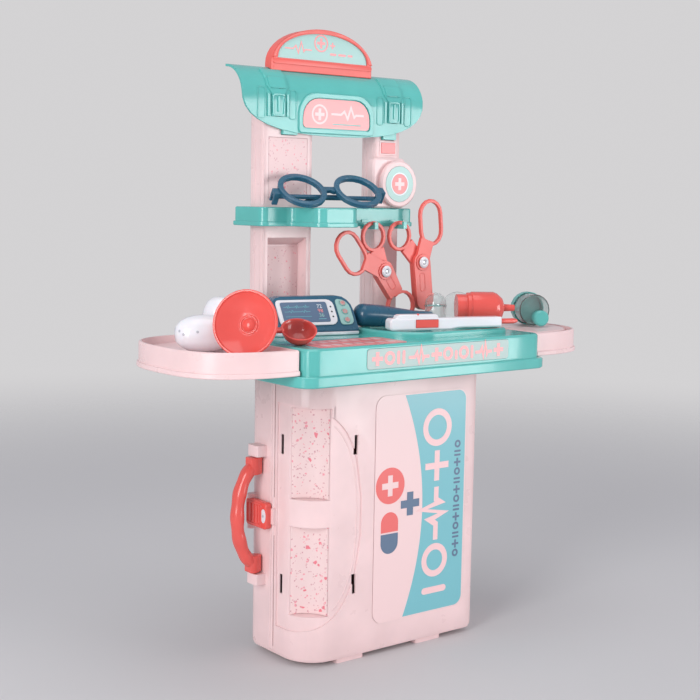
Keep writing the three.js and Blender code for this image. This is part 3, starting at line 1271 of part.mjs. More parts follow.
const stickBody = cut(
  fuse(
    alongY(stickSide, stickFront, -stickFront, stick.edge),
    alongY(rounded(8, 8 + stick.plate, stick.height / 2, stick.height + stick.plateRise, [2, 2, 4, 4]),
      stickFront + 2, -stickFront - 2, 1.4),
  ),
  windowBox(seatGap, stickFront - overrun, stickFront + window1.depth + window1.travel),
  solidOf(new THREE.CylinderGeometry(tip.radius + seatGap, tip.radius + seatGap, 8, 14)
    .rotateZ(Math.PI / 2).translate(stick.length, 0, stick.height / 2 + 1)),
);
place("thermometer_body", stickBody, gloss.white, stickGroup);
place("thermometer_button", windowBox(
  0, stickFront - window1.rise, stickFront + window1.depth - seatGap), gloss.coral, stickGroup);
const tipMesh = place("thermometer_tip", turned([
  [0, -3.6], [tip.radius, -3.6], [tip.radius, tip.length * 0.8], [tip.radius * 0.6, tip.length], [0, tip.length],
], 14), gloss.coral, stickGroup);
tipMesh.rotation.y = Math.PI / 2;
tipMesh.position.set(stick.length, 0, stick.height / 2 + 1);

// Mallet handle that lies in the basin
const club = { length: 104, thick: 12.5, thin: 8.5, round: 9 };
const clubPlace = { x: -17.5, y: 4.5, turn: -5 };
const basinFloor = table.top + basin.floor + seatGap;
const clubProfile = [[0, 0]];
const clubSteps = 5;
for (let i = 1; i <= clubSteps; i += 1) {
  const angle = Math.PI / 2 * i / clubSteps;
  clubProfile.push([club.thick * Math.sin(angle), club.round * (1 - Math.cos(angle))]);
}
clubProfile.push([club.thick * 0.98, club.length * 0.3], [club.thin, club.length * 0.75]);
clubProfile.push([club.thin, club.length - 2], [club.thin - 2, club.length], [0, club.length]);
const clubMesh = place("mallet_handle", turned(clubProfile), gloss.blue);
const clubTilt = Math.asin((rimTop + club.thick - basinFloor - club.thin) / club.length);
clubMesh.rotation.set(0, Math.PI / 2 + clubTilt, THREE.MathUtils.degToRad(clubPlace.turn), "ZYX");
clubMesh.position.set(
  clubPlace.x, clubPlace.y, rimTop + seatGap + club.thick + club.round * Math.sin(clubTilt));

// Clear vial: an inverted cup with a domed top
const vial = { radius: 12.2, height: 38, wall: 1.3, collar: 1.2, collarLow: 22 };
const vialPlace = { x: 103, y: 8 };
function domed(radius, height, steps) {
  const points = [];
  for (let i = 0; i <= steps; i += 1) {
    const angle = Math.PI / 2 * i / steps;
    points.push([radius * Math.cos(angle), height - radius + radius * Math.sin(angle)]);
  }
  return points;
}
const vialProfile = [
  [vial.radius - vial.wall, 0], [vial.radius, 0], [vial.radius, vial.collarLow],
  [vial.radius + vial.collar, vial.collarLow + 1], [vial.radius, vial.collarLow + 2.4],
  ...domed(vial.radius, vial.height, 4).slice(0, -1), [0, vial.height], [0, vial.height - vial.wall],
  ...domed(vial.radius - vial.wall, vial.height - vial.wall, 4).slice(0, -1).reverse(),
  [vial.radius - vial.wall, 0],
];
const vialMesh = place("clear_vial", turned(vialProfile, 16), clear);
vialMesh.position.set(vialPlace.x, vialPlace.y, basinFloor);

// Clear cap that stands on its edge behind the vial
const cap = { radius: 19, depth: 9, wall: 1.6 };
const capPlace = { x: 150, y: 22, turn: -42 };
const capMesh = place("clear_cap", turned([
  [0, 0], [cap.radius, 0], [cap.radius, cap.depth], [cap.radius - cap.wall, cap.depth],
  [cap.radius - cap.wall, cap.wall], [0, cap.wall],
], 24), clear);
capMesh.rotation.set(Math.PI / 2, 0, THREE.MathUtils.degToRad(capPlace.turn), "ZYX");
capMesh.position.set(capPlace.x, capPlace.y, table.top + seatGap + cap.radius);

// Medicine bottle that lies across the end of the basin
const bottle = { radius: 18, base: 15, baseLength: 11, body: 31, shoulder: 13, neck: 4.2, neckLength: 12 };
const bottlePlace = { x: 112, y: -17, turn: -33 };
const shoulderEnd = bottle.baseLength + bottle.body + bottle.shoulder;
const bottleProfile = [
  [0, 0], [bottle.base, 0], [bottle.base, bottle.baseLength], [bottle.radius - 1, bottle.baseLength + 1],
  [bottle.radius - 1, bottle.baseLength + 5], [bottle.radius, bottle.baseLength + 6],
  [bottle.radius, bottle.baseLength + bottle.body],
  [bottle.radius * 0.9, bottle.baseLength + bottle.body + bottle.shoulder * 0.35],
  [bottle.radius * 0.62, bottle.baseLength + bottle.body + bottle.shoulder * 0.8],
  [bottle.neck, shoulderEnd], [bottle.neck * 0.85, shoulderEnd + bottle.neckLength],
  [0, shoulderEnd + bottle.neckLength],
];
const bottleMesh = place("medicine_bottle", turned(bottleProfile), gloss.coral);
bottleMesh.rotation.set(0, Math.PI / 2, THREE.MathUtils.degToRad(bottlePlace.turn), "ZYX");
bottleMesh.position.set(bottlePlace.x, bottlePlace.y, rimTop + seatGap + bottle.radius);

// Clear jar that lies on the right tray: an off-centre spout in front and a cap at the far end
const jar = { radius: 18.4, length: 34, wall: 1.4, spoutRadius: 9.3, spoutLength: 9, spoutSide: 5.6, bore: 4 };
const jarCap = { radius: 19.6, length: 12, wall: 1.6, grip: 2.2, hole: 3 };
const jarNeck = { radius: 5, bore: 5.4, reach: 5 };
const jarPlace = { x: 215, y: -41, turn: 62 };
const jarGroup = new THREE.Group();
jarGroup.position.set(jarPlace.x, jarPlace.y, padTop + seatGap + jarCap.radius);
jarGroup.rotation.set(0, Math.PI / 2, THREE.MathUtils.degToRad(jarPlace.turn), "ZYX");
model.add(jarGroup);
const spoutDrop = jar.radius - jar.spoutRadius;
const jarTube = turned([
  [0, 0], [jar.radius - jar.wall, 0], [jar.radius, jar.wall], [jar.radius, jar.length],
  [jar.radius - jar.wall, jar.length], [jar.radius - jar.wall, jar.wall], [0, jar.wall],
]);
const aside = (solid) => solidOf(geometryOf(solid).translate(spoutDrop, -jar.spoutSide, 0));
place("jar_barrel", cut(
  jarTube,
  aside(turned([[0, -overrun], [jarNeck.bore, -overrun], [jarNeck.bore, jar.wall * 2], [0, jar.wall * 2]])),
), clear, jarGroup);
place("jar_spout", aside(turned([
  [0, -seatGap - jar.spoutLength], [jar.spoutRadius * 0.8, -seatGap - jar.spoutLength],
  [jar.spoutRadius, -seatGap - jar.spoutLength * 0.8], [jar.spoutRadius, -seatGap],
  [jarNeck.radius, -seatGap], [jarNeck.radius, jarNeck.reach], [0, jarNeck.reach],
])), matte.mint, jarGroup);
const capEnd = jar.length + seatGap + jarCap.wall;
const capBore = jar.radius + seatGap;
place("jar_cap", turned([
  [0, capEnd - jarCap.wall], [capBore, capEnd - jarCap.wall], [capBore, capEnd - jarCap.length],
  [jarCap.radius, capEnd - jarCap.length], [jarCap.radius, capEnd - jarCap.grip],
  [jarCap.radius - jarCap.wall, capEnd], [0, capEnd],
]), matte.mint, jarGroup);

export default model;
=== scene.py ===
import math
from collections import namedtuple

import bpy
from mathutils import Matrix, Vector


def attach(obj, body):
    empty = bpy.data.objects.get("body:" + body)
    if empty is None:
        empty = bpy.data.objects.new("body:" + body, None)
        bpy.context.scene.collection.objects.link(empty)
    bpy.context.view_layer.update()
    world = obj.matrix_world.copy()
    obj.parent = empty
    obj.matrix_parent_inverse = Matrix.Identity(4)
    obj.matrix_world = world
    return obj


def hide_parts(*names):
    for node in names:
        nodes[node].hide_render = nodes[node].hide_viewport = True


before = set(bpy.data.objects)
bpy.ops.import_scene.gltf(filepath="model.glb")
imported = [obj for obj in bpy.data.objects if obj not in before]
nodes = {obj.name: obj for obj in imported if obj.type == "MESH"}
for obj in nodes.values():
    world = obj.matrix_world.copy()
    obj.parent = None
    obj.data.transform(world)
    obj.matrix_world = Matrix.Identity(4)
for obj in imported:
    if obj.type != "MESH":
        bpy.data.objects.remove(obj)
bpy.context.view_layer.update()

MM = 0.001
PHOTO_SIDE = 700
FRONT = (0, -1, 0)
LEVEL = ((0, 0, 1), (0, 1, 0))

# Colours of the plastics and prints, as they look in plain light
PINK = (0.945, 0.825, 0.825)
MINT = (0.37, 0.735, 0.71)
CORAL = (0.925, 0.365, 0.335)
DEEP_BLUE = (0.17, 0.375, 0.48)
WHITE = (0.92, 0.915, 0.935)
PALE_MINT = (0.62, 0.785, 0.765)
PALE_BLUE = (0.47, 0.745, 0.785)
ROSE = (0.965, 0.60, 0.605)
DEEP_ROSE = (0.925, 0.475, 0.48)
PALE_ROSE = (0.965, 0.80, 0.805)
SLATE = (0.36, 0.45, 0.56)
DARK = (0.12, 0.13, 0.16)
STEEL = (0.72, 0.73, 0.75)


def linear(colour):
    """A display colour as the linear RGBA that a shader socket takes."""
    steps = [c / 12.92 if c <= 0.04045 else ((c + 0.055) / 1.055) ** 2.4 for c in colour[:3]]
    return (*steps, 1.0)


def tinted(colour, share):
    """The colour made lighter (share above 1) or darker (below 1)."""
    return tuple(min(c * share, 1.0) for c in colour[:3])


# Materials
def material_tree(name):
    material = bpy.data.materials.new(name)
    material.use_nodes = True
    tree = material.node_tree
    tree.nodes.clear()
    output = tree.nodes.new("ShaderNodeOutputMaterial")
    shader = tree.nodes.new("ShaderNodeBsdfPrincipled")
    tree.links.new(shader.outputs["BSDF"], output.inputs["Surface"])
    return material, tree, shader


def fill_socket(tree, socket, value):
    """Gives an input a value, or a link from another node's output."""
    if isinstance(value, bpy.types.NodeSocket):
        tree.links.new(value, socket)
    else:
        socket.default_value = value


def fill(tree, node, inputs):
    for key, value in inputs.items():
        fill_socket(tree, node.inputs[key], value)


def add_node(tree, kind, inputs=None, **settings):
    node = tree.nodes.new(kind)
    for key, value in settings.items():
        setattr(node, key, value)
    fill(tree, node, inputs or {})
    return node


def object_place(tree, stretch=(1, 1, 1)):
    source = add_node(tree, "ShaderNodeTexCoord").outputs["Object"]
    return add_node(tree, "ShaderNodeMapping", {"Vector": source, "Scale": stretch}).outputs["Vector"]


def noise(tree, place, scale, detail=2.0, rough=0.5):
    node = add_node(tree, "ShaderNodeTexNoise", {
        "Vector": place, "Scale": scale, "Detail": detail, "Roughness": rough})
    return node.outputs["Fac"]


def spread(tree, value, low, high, start=0.3, end=0.7):
    """Maps a noise value to the span from low to high."""
    node = add_node(tree, "ShaderNodeMapRange", {
        "Value": value, "From Min": start, "From Max": end, "To Min": low, "To Max": high})
    return node.outputs["Result"]


def blend_colours(tree, factor, first, second):
    node = add_node(tree, "ShaderNodeMix", data_type="RGBA")
    for key, kind, value in (("Factor", "VALUE", factor), ("A", "RGBA", first), ("B", "RGBA", second)):
        fill_socket(tree, next(s for s in node.inputs if s.name == key and s.type == kind), value)
    return next(s for s in node.outputs if s.type == "RGBA")


def add_bump(tree, strength, distance, height, **normal):
    """The normals of a fine relief, distance millimetres high."""
    return add_node(tree, "ShaderNodeBump", {
        "Strength": strength, "Distance": distance * MM, "Height": height, **normal}).outputs["Normal"]


def soft_edges(tree, radius):
    """Normals rounded over sharp edges, and a mask that is 1 on those edges."""
    rounded = add_node(tree, "ShaderNodeBevel", {"Radius": radius}, samples=6).outputs["Normal"]
    flat = add_node(tree, "ShaderNodeNewGeometry").outputs["Normal"]
    agree = add_node(tree, "ShaderNodeVectorMath", {0: rounded, 1: flat}, operation="DOT_PRODUCT")
    return rounded, spread(tree, agree.outputs["Value"], 0.0, 1.0, 0.995, 0.8)


def moulded_plastic(name, colour, roughness, coat=0.0, bleed=0.06, hollow_shade=0.0, reach=12 * MM):
    """Moulded plastic: slow flow shading, fine grain, edges painted lighter as stress whitening and a painted
    highlight, and hollows painted darker as painted shade.
    """
    material, tree, shader = material_tree(name)
    place = object_place(tree)
    rounded, mask = soft_edges(tree, 0.7 * MM)
    flow = spread(tree, noise(tree, place, 16.0, 3.0), 0.0, 1.0)
    body = blend_colours(tree, flow, linear(tinted(colour, 0.965)), linear(tinted(colour, 1.025)))
    # Painted highlight: edges lighter in colour, as stress whitening and a painted highlight
    edge_whitening_and_highlight = spread(tree, mask, 0.0, 0.22, 0.0, 1.0)
    shown = blend_colours(tree, edge_whitening_and_highlight, body, linear(tinted(colour, 1.16)))
    # Painted shade: ambient occlusion darkens the colour in hollows towards a dark copy of it
    if hollow_shade:
        shade = add_node(
            tree, "ShaderNodeAmbientOcclusion", {"Distance": reach}, samples=8, only_local=True)
        painted_shade = spread(tree, shade.outputs["AO"], hollow_shade, 0.0, 0.25, 0.95)
        shown = blend_colours(tree, painted_shade, shown, linear(tinted(colour, 0.45)))
    gloss = spread(tree, noise(tree, place, 45.0, 4.0), roughness - 0.035, roughness + 0.045)
    grain = noise(tree, place, 900.0, 3.0, 0.6)
    fill(tree, shader, {
        "Base Color": shown, "Roughness": gloss, "Normal": add_bump(tree, 0.06, 0.15, grain, Normal=rounded),
        "IOR": 1.5, "Coat Weight": coat, "Coat Roughness": 0.08, "Subsurface Weight": bleed,
        "Subsurface Radius": (3 * MM, 1.5 * MM, 1 * MM), "Subsurface Scale": 1.0})
    return material


def terrazzo(name, ground, size, amount):
    """Pale plastic with angular chips of three sizes and tints pressed into it."""
    material, tree, shader = material_tree(name)
    place = object_place(tree)
    colour = linear(ground)
    # Each layer: size of its chips, share of cells that get one, tint, and shift of its pattern
    layers = (
        (1.0, amount * 0.55, (0.925, 0.50, 0.55), 0.0),
        (0.55, amount * 1.1, (0.94, 0.62, 0.66), 31.0),
        (0.36, amount * 1.3, (0.84, 0.63, 0.66), 67.0))
    for share, chosen_share, tint, offset in layers:
        moved = add_node(tree, "ShaderNodeVectorMath", {
            0: place, 1: (offset * MM, offset * 2 * MM, 0.0)}, operation="ADD").outputs["Vector"]
        inputs = {"Vector": moved, "Scale": 1 / (size * share), "Randomness": 1.0}
        cells = add_node(tree, "ShaderNodeTexVoronoi", inputs)
        edges = add_node(tree, "ShaderNodeTexVoronoi", inputs, feature="DISTANCE_TO_EDGE")
        inside = spread(tree, edges.outputs["Distance"], 0.0, 1.0, 0.10, 0.16)
        picked = add_node(tree, "ShaderNodeSeparateColor", {"Color": cells.outputs["Color"]})
        chosen = add_node(tree, "ShaderNodeMath", {
            0: picked.outputs["Red"], 1: 1 - chosen_share}, operation="GREATER_THAN")
        factor = add_node(tree, "ShaderNodeMath", {
            0: inside, 1: chosen.outputs["Value"]}, operation="MULTIPLY")
        colour = blend_colours(tree, factor.outputs["Value"], colour, linear(tint))
    rounded, _ = soft_edges(tree, 0.5 * MM)
    grain = noise(tree, place, 700.0, 3.0)
    fill(tree, shader, {
        "Base Color": colour, "Normal": add_bump(tree, 0.12, 0.2, grain, Normal=rounded),
        "Roughness": 0.40, "IOR": 1.5})
    return material


def printed_label(name, colour):
    """Printed film: flat ink with a faint screen of dots and a slight waviness."""
    material, tree, shader = material_tree(name)
    place = object_place(tree)
    dots = add_node(tree, "ShaderNodeTexVoronoi", {
        "Vector": place, "Scale": 1 / (0.7 * MM), "Randomness": 0.0})
    screen = spread(tree, dots.outputs["Distance"], 0.0, 1.0, 0.25, 0.5)
    ink = blend_colours(tree, screen, linear(tinted(colour, 0.985)), linear(tinted(colour, 1.015)))
    fill(tree, shader, {
        "Base Color": ink, "Normal": add_bump(tree, 0.05, 0.3, noise(tree, place, 60.0)),
        "Roughness": 0.32, "Coat Weight": 0.3, "Coat Roughness": 0.12})
    return material


def clear_plastic(name, tint):
    """Clear moulded plastic with faint flow lines."""
    material, tree, shader = material_tree(name)
    place = object_place(tree)
    fill(tree, shader, {
        "Base Color": linear(tint), "Normal": add_bump(tree, 0.04, 0.3, noise(tree, place, 120.0)),
        "Roughness": spread(tree, noise(tree, place, 60.0), 0.03, 0.08),
        "Transmission Weight": 0.94, "IOR": 1.46})
    return material


def bright_steel(name):
    """Drawn wire, with fine streaks along Z."""
    material, tree, shader = material_tree(name)
    drawn = noise(tree, object_place(tree, (1, 1, 0.05)), 2500.0)
    fill(tree, shader, {
        "Base Color": linear(STEEL), "Metallic": 1.0, "Roughness": spread(tree, drawn, 0.18, 0.34),
        "Normal": add_bump(tree, 0.08, 0.05, drawn)})
    return material


pink_shell = moulded_plastic("pink_shell_plastic", PINK, 0.30, bleed=0.03)
mint_shell = moulded_plastic("mint_shell_plastic", MINT, 0.17, coat=0.2, bleed=0.03)
# Coral plastics carry painted shade in their hollows, darkest inside the bowl
coral_gloss = moulded_plastic("coral_gloss_plastic", CORAL, 0.17, coat=0.1, bleed=0.03, hollow_shade=0.30)
coral_satin = moulded_plastic("coral_satin_plastic", (0.93, 0.40, 0.37), 0.34, hollow_shade=0.30)
label_ground = printed_label("front_label_print", (0.60, 0.70, 0.685))
bowl_coral = moulded_plastic("bowl_coral_plastic", CORAL, 0.20, hollow_shade=0.85, reach=34 * MM)
blue_gloss = moulded_plastic("deep_blue_plastic", DEEP_BLUE, 0.27, coat=0.2)
white_gloss = moulded_plastic("white_gloss_plastic", WHITE, 0.22, coat=0.25)
key_mint = moulded_plastic("pale_mint_key_plastic", PALE_MINT, 0.3)
# Painted shade: near-black for the shade inside holes, slots and recesses
painted_hole_shade = moulded_plastic("hole_shade_paint", DARK, 0.5)
# Pale grey: painted shade in the bulb's vent holes, also used for the dot on the latch catch
grey_vent = moulded_plastic("grey_vent_plastic", (0.72, 0.72, 0.75), 0.4)
# Painted shadow: a darker pink for strips beside the seam of the case
seam_shade = moulded_plastic("seam_shadow_plastic", (0.66, 0.50, 0.50), 0.5)
case_speckle = terrazzo("case_insert_terrazzo", (0.945, 0.835, 0.83), 5.0 * MM, 0.085)
column_speckle = terrazzo("column_insert_terrazzo", (0.93, 0.80, 0.80), 4.2 * MM, 0.05)
pale_mint_print = printed_label("pale_mint_print", PALE_MINT)
pale_blue_print = printed_label("pale_blue_print", PALE_BLUE)
pink_print = printed_label("pink_print", (0.95, 0.825, 0.825))
rose_print = printed_label("rose_print", ROSE)
deep_rose_print = printed_label("deep_rose_print", DEEP_ROSE)
pale_rose_print = printed_label("pale_rose_print", PALE_ROSE)
slate_print = printed_label("slate_print", SLATE)
coral_print = printed_label("coral_print", (0.93, 0.42, 0.41))
white_print = printed_label("white_print", (0.90, 0.93, 0.95))
clear_shell = clear_plastic("clear_plastic", (0.97, 0.985, 0.985))
steel_wire = bright_steel("bright_steel_wire")

FINISHES = {
    pink_shell: (
        "back_shell", "front_shell", "left_tray", "right_tray", "left_column", "left_column_cover",
        "right_column", "right_column_cover", "badge_block", "badge_disc"),
    mint_shell: ("table", "shelf", "canopy", "jar_spout", "jar_cap"),
    coral_gloss: (
        "carry_handle", "latch_clip", "reflector_dish", "thermometer_button", "thermometer_tip",
        "medicine_bottle"),
    coral_satin: (
        "sign_frame", "left_forceps_hung_half", "left_forceps_free_half", "right_forceps_hung_half",
        "right_forceps_free_half"),
    bowl_coral: ("bowl",),
    blue_gloss: (
        "glasses_frame", "glasses_left_temple", "glasses_right_temple", "monitor_housing", "mallet_handle"),
    white_gloss: (
        "left_forceps_rivet", "right_forceps_rivet", "monitor_base", "monitor_bezel", "lying_bulb",
        "standing_bulb", "thermometer_body"),
    key_mint: ("monitor_key_1", "monitor_key_2", "monitor_key_3"),
    case_speckle: ("case_upper_insert", "case_lower_insert"),
    column_speckle: ("left_column_upper_insert", "left_column_lower_insert"),
    label_ground: ("table_front_label",),
    pale_mint_print: ("badge_label", "sign_label", "monitor_key_strip"),
    pink_print: ("graphic_panel",),
    rose_print: ("canopy_label",),
    deep_rose_print: ("table_top_label", "right_column_label"),
    slate_print: ("monitor_screen",),
    clear_shell: ("clear_vial", "clear_cap", "jar_barrel"),
    steel_wire: ("hinge_pin",),
}


def deselect():
    for item in bpy.context.selected_objects:
        item.select_set(False)


def make_active(item):
    deselect()
    item.select_set(True)
    bpy.context.view_layer.objects.active = item


SMOOTH_LIMIT = math.radians(32)


def dress(node, material):
    """A CAD node keeps its mesh and gets its finish, with the facets of its curves smoothed."""
    node.data.materials.clear()
    node.data.materials.append(material)
    make_active(node)
    if node.data.has_custom_normals:
        bpy.ops.mesh.customdata_custom_splitnormals_clear()
    node.data.polygons.foreach_set("use_smooth", [True] * len(node.data.polygons))
    weld = node.modifiers.new("weld", "WELD")
    weld.merge_threshold = 0.01 * MM
    split = node.modifiers.new("sharp_edges", "EDGE_SPLIT")
    split.split_angle = SMOOTH_LIMIT


for finish_material, names in FINISHES.items():
    for name in names:
        dress(nodes[name], finish_material)

# The camera of the photograph, fitted to the straight edges of the case and the table
CAMERA_PLACE = Vector((-907.1, -1122.5, 494.6))
CAMERA_TURN = (38.1, -6.6, 1.0)
FOCAL_PIXELS = 1321


def camera_directions():
    yaw, pitch, roll = (math.radians(angle) for angle in CAMERA_TURN)
    ahead = Vector((math.sin(yaw) * math.cos(pitch), math.cos(yaw) * math.cos(pitch), math.sin(pitch)))
    level = Vector((math.cos(yaw), -math.sin(yaw), 0))
    above = level.cross(ahead)
    right = level * math.cos(roll) + above * math.sin(roll)
    up = above * math.cos(roll) - level * math.sin(roll)
    return ahead, right, up


# Flat faces that prints lie on, and how nearly their triangles have to agree
Face = namedtuple("Face", "middle right up out half_width half_height")
LOOKS_THAT_WAY = 0.7
SAME_DIRECTION = 0.9995
SAME_PLANE = 0.1 * MM


def face_of(name, toward, upright=(0, 0, 1)):
    """The flat face of a node that looks a given way: its middle, its directions and its half sizes."""
    mesh = nodes[name].data
    want = Vector(toward).normalized()
    facing = [p for p in mesh.polygons if p.normal.dot(want) > LOOKS_THAT_WAY]
    largest = max(facing, key=lambda p: p.area)
    out = largest.normal.copy()
    flat = [p for p in facing if p.normal.dot(out) > SAME_DIRECTION
            and abs((p.center - largest.center).dot(out)) < SAME_PLANE]
    up = (Vector(upright) - out * Vector(upright).dot(out)).normalized()
    right = up.cross(out)
    corners = [mesh.vertices[i].co for p in flat for i in p.vertices]
    across = [c.dot(right) for c in corners]
    along = [c.dot(up) for c in corners]
    middle = right * (min(across) + max(across)) / 2 + up * (min(along) + max(along)) / 2
    middle += out * largest.center.dot(out)
    return Face(middle, right, up, out, (max(across) - min(across)) / 2, (max(along) - min(along)) / 2)


# Outlines for prints, in millimetres on the face
CAPSULE_STEPS = 10
BOX_STEPS = 6
SHARPEST_TURN = 0.4


def arc_points(x, y, radius, start, end, steps):
    """Points on an arc between two angles in degrees."""
    angles = [math.radians(start + (end - start) * i / steps) for i in range(steps + 1)]
    return [(x + radius * math.cos(a), y + radius * math.sin(a)) for a in angles]


def ring_points(x, y, radius, steps=36):
    return [(x + radius * math.cos(math.tau * i / steps), y + radius * math.sin(math.tau * i / steps))
            for i in range(steps)]


def ring_shape(x, y, radius, width):
    return [ring_points(x, y, radius), ring_points(x, y, radius - width)]


def plus_shape(x, y, reach, bar):
    r, b = reach, bar / 2
    corners = (
        (-b, r), (-b, b), (-r, b), (-r, -b), (-b, -b), (-b, -r),
        (b, -r), (b, -b), (r, -b), (r, b), (b, b), (b, r))
    return [[(x + u, y + v) for u, v in corners]]


def capsule_shape(x, y, length, width, turn=0.0):
    """A bar with round ends; turn is in degrees from level."""
    radius = width / 2
    half = length / 2 - radius
    c, s = math.cos(math.radians(turn)), math.sin(math.radians(turn))
    ends = (arc_points(half, 0, radius, -90, 90, CAPSULE_STEPS)
            + arc_points(-half, 0, radius, 90, 270, CAPSULE_STEPS))
    return [[(x + u * c - v * s, y + u * s + v * c) for u, v in ends]]


def box_shape(x, y, width, height, radius):
    points = []
    for cx, cy, start in ((1, 1, 0), (-1, 1, 90), (-1, -1, 180), (1, -1, 270)):
        points += arc_points(x + cx * (width / 2 - radius), y + cy * (height / 2 - radius), radius,
                             start, start + 90, BOX_STEPS)
    return [points]


def frame_shape(x, y, width, height, bar, radius, inner_radius):
    """A frame with round corners, made of bars of one width."""
    return (box_shape(x, y, width, height, radius)
            + box_shape(x, y, width - 2 * bar, height - 2 * bar, inner_radius))


def band_shape(points, width):
    """A bent line of even width, with mitred corners, of which sharp ones reach out less."""
    line = [Vector(p) for p in points]
    first, second = [], []
    for i, point in enumerate(line):
        before = (point - line[i - 1]).normalized() if i else None
        after = (line[i + 1] - point).normalized() if i + 1 < len(line) else None
        heading = ((before or after) + (after or before)).normalized()
        side = Vector((-heading.y, heading.x))
        turn = abs(heading.dot(after or before))
        reach = width / 2 / max(turn, SHARPEST_TURN)
        first.append(tuple(point + side * reach))
        second.append(tuple(point - side * reach))
    return [first + second[::-1]]


# One heartbeat: how far along it each point lies, and its height
PULSE = ((0.30, 0.0), (0.40, 0.45), (0.50, -0.55), (0.60, 1.0), (0.70, -0.3), (0.76, 0.0))
PULSE_SPAN = 1.5


def pulse_points(x0, x1, y, height, beats=1):
    """A level line with one or more heartbeat zigzags, as a monitor draws it."""
    points = [(x0, y)]
    span = (x1 - x0) / beats
    for beat in range(beats):
        start = x0 + span * beat
        points += [(start + span * share, y + height * rise / PULSE_SPAN) for share, rise in PULSE]
    points.append((x1, y))
    return points


def turned_upright(shapes):
    """Swaps level for upright, so that a motif runs up the face."""
    return [[(-v, u) for u, v in points] for points in shapes]


# Making and placing of new pieces
PRINT_THICK = 0.3
PRINT_SUNK = 0.1
FLAT_DOUBLES = 0.001 * MM
SPUN_DOUBLES = 0.004 * MM


def curve_object(name, lines, closed):
    """Flat closed outlines, or open lines in space, from points in millimetres."""
    curve = bpy.data.curves.new(name, "CURVE")
    curve.dimensions = "2D" if closed else "3D"
    for points in lines:
        spline = curve.splines.new("POLY")
        spline.points.add(len(points) - 1)
        for point, place in zip(spline.points, points):
            point.co = (*(c * MM for c in place), *([0.0] * (3 - len(place))), 1.0)
        spline.use_cyclic_u = closed
    piece = bpy.data.objects.new(name, curve)
    bpy.context.scene.collection.objects.link(piece)
    return piece


def as_mesh(piece):
    """A curve or text made a mesh, with its doubles merged."""
    make_active(piece)
    bpy.ops.object.convert(target="MESH")
    piece = bpy.context.object
    bpy.ops.object.mode_set(mode="EDIT")
    bpy.ops.mesh.select_all(action="SELECT")
    bpy.ops.mesh.remove_doubles(threshold=FLAT_DOUBLES)
    bpy.ops.object.mode_set(mode="OBJECT")
    return piece


def onto_face(piece, face):
    """Moves a mesh made round the origin onto a face."""
    place = Matrix((face.right, face.up, face.out)).transposed().to_4x4()
    place.translation = face.middle
    piece.data.transform(place)


def finished(piece, finish, body, slot, smooth=40):
    """Gives a piece its finish and its body; edges under smooth degrees are shaded round. Its slot is not
    used.
    """
    piece.data.materials.clear()
    piece.data.materials.append(finish)
    make_active(piece)
    bpy.ops.object.shade_smooth_by_angle(angle=math.radians(smooth))
    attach(piece, body)
    return piece


def settle(piece, face, *looks):
    """Puts a piece made round the origin onto a face and finishes it."""
    onto_face(piece, face)
    return finished(piece, *looks)


def add_print(name, shapes, face, finish, body, slot, thick=PRINT_THICK, sunk=PRINT_SUNK, soft=0.0):
    """Flat motifs that lie on a face, sunk into it a little; soft is the radius of their edges."""
    piece = curve_object(name, shapes, True)
    piece.data.fill_mode = "BOTH"
    piece.data.extrude = (thick / 2 - soft) * MM
    piece.data.bevel_depth = soft * MM
    piece.data.bevel_resolution = 2
    piece.data.offset = -soft * MM
    piece = as_mesh(piece)
    piece.data.transform(Matrix.Translation((0, 0, (thick / 2 - sunk) * MM)))
    return settle(piece, face, finish, body, slot)


def add_number(name, words, x, y, size, face, finish, body, slot):
    bpy.ops.object.text_add()
    piece = bpy.context.object
    piece.name = name
    piece.data.body = words
    piece.data.size = size * MM
    piece.data.extrude = PRINT_THICK / 2 * MM
    piece.data.align_x = "CENTER"
    piece.data.align_y = "CENTER"
    piece = as_mesh(piece)
    piece.data.transform(Matrix.Translation((x * MM, y * MM, (PRINT_THICK / 2 - PRINT_SUNK) * MM)))
    return settle(piece, face, finish, body, slot)


def turned(name, profile, steps=40):
    """A round piece spun about Z from its profile of radius and height, in millimetres."""
    piece = as_mesh(curve_object(name, [[(radius, 0.0, height) for radius, height in profile]], False))
    bpy.ops.object.mode_set(mode="EDIT")
    bpy.ops.mesh.select_all(action="SELECT")
    bpy.ops.mesh.spin(steps=steps, angle=math.tau, center=(0, 0, 0), axis=(0, 0, 1))
    bpy.ops.mesh.select_all(action="SELECT")
    bpy.ops.mesh.remove_doubles(threshold=SPUN_DOUBLES)
    bpy.ops.mesh.normals_make_consistent(inside=False)
    bpy.ops.object.mode_set(mode="OBJECT")
    return piece


def moved_face(face, across=0.0, along=0.0, out=0.0, turn=0.0):
    """The same face with its middle shifted by millimetres and its directions turned by degrees."""
    middle = face.middle + (face.right * across + face.up * along + face.out * out) * MM
    c, s = math.cos(math.radians(turn)), math.sin(math.radians(turn))
    return face._replace(middle=middle, right=face.right * c + face.up * s, up=face.up * c - face.right * s)


def plain_face(x, y, z, out, upright=(0, 0, 1)):
    """A place in millimetres with the direction that a piece on it looks."""
    out = Vector(out).normalized()
    up = (Vector(upright) - out * Vector(upright).dot(out)).normalized()
    return Face(Vector((x, y, z)) * MM, up.cross(out), up, out, 0.0, 0.0)


def surface_hit(name, start, toward):
    """Where a line from start meets a node first, in metres, and the direction that its surface looks."""
    hit, place, normal, _ = nodes[name].ray_cast(start, toward)
    if not hit:
        raise RuntimeError(f"no surface of {name} there")
    return place, normal


def node_surface(name, start, toward):
    """The point of a node that a line from start meets first, as a face to settle on."""
    place, normal = surface_hit(name, Vector(start) * MM, Vector(toward).normalized())
    return plain_face(*(place / MM), normal)


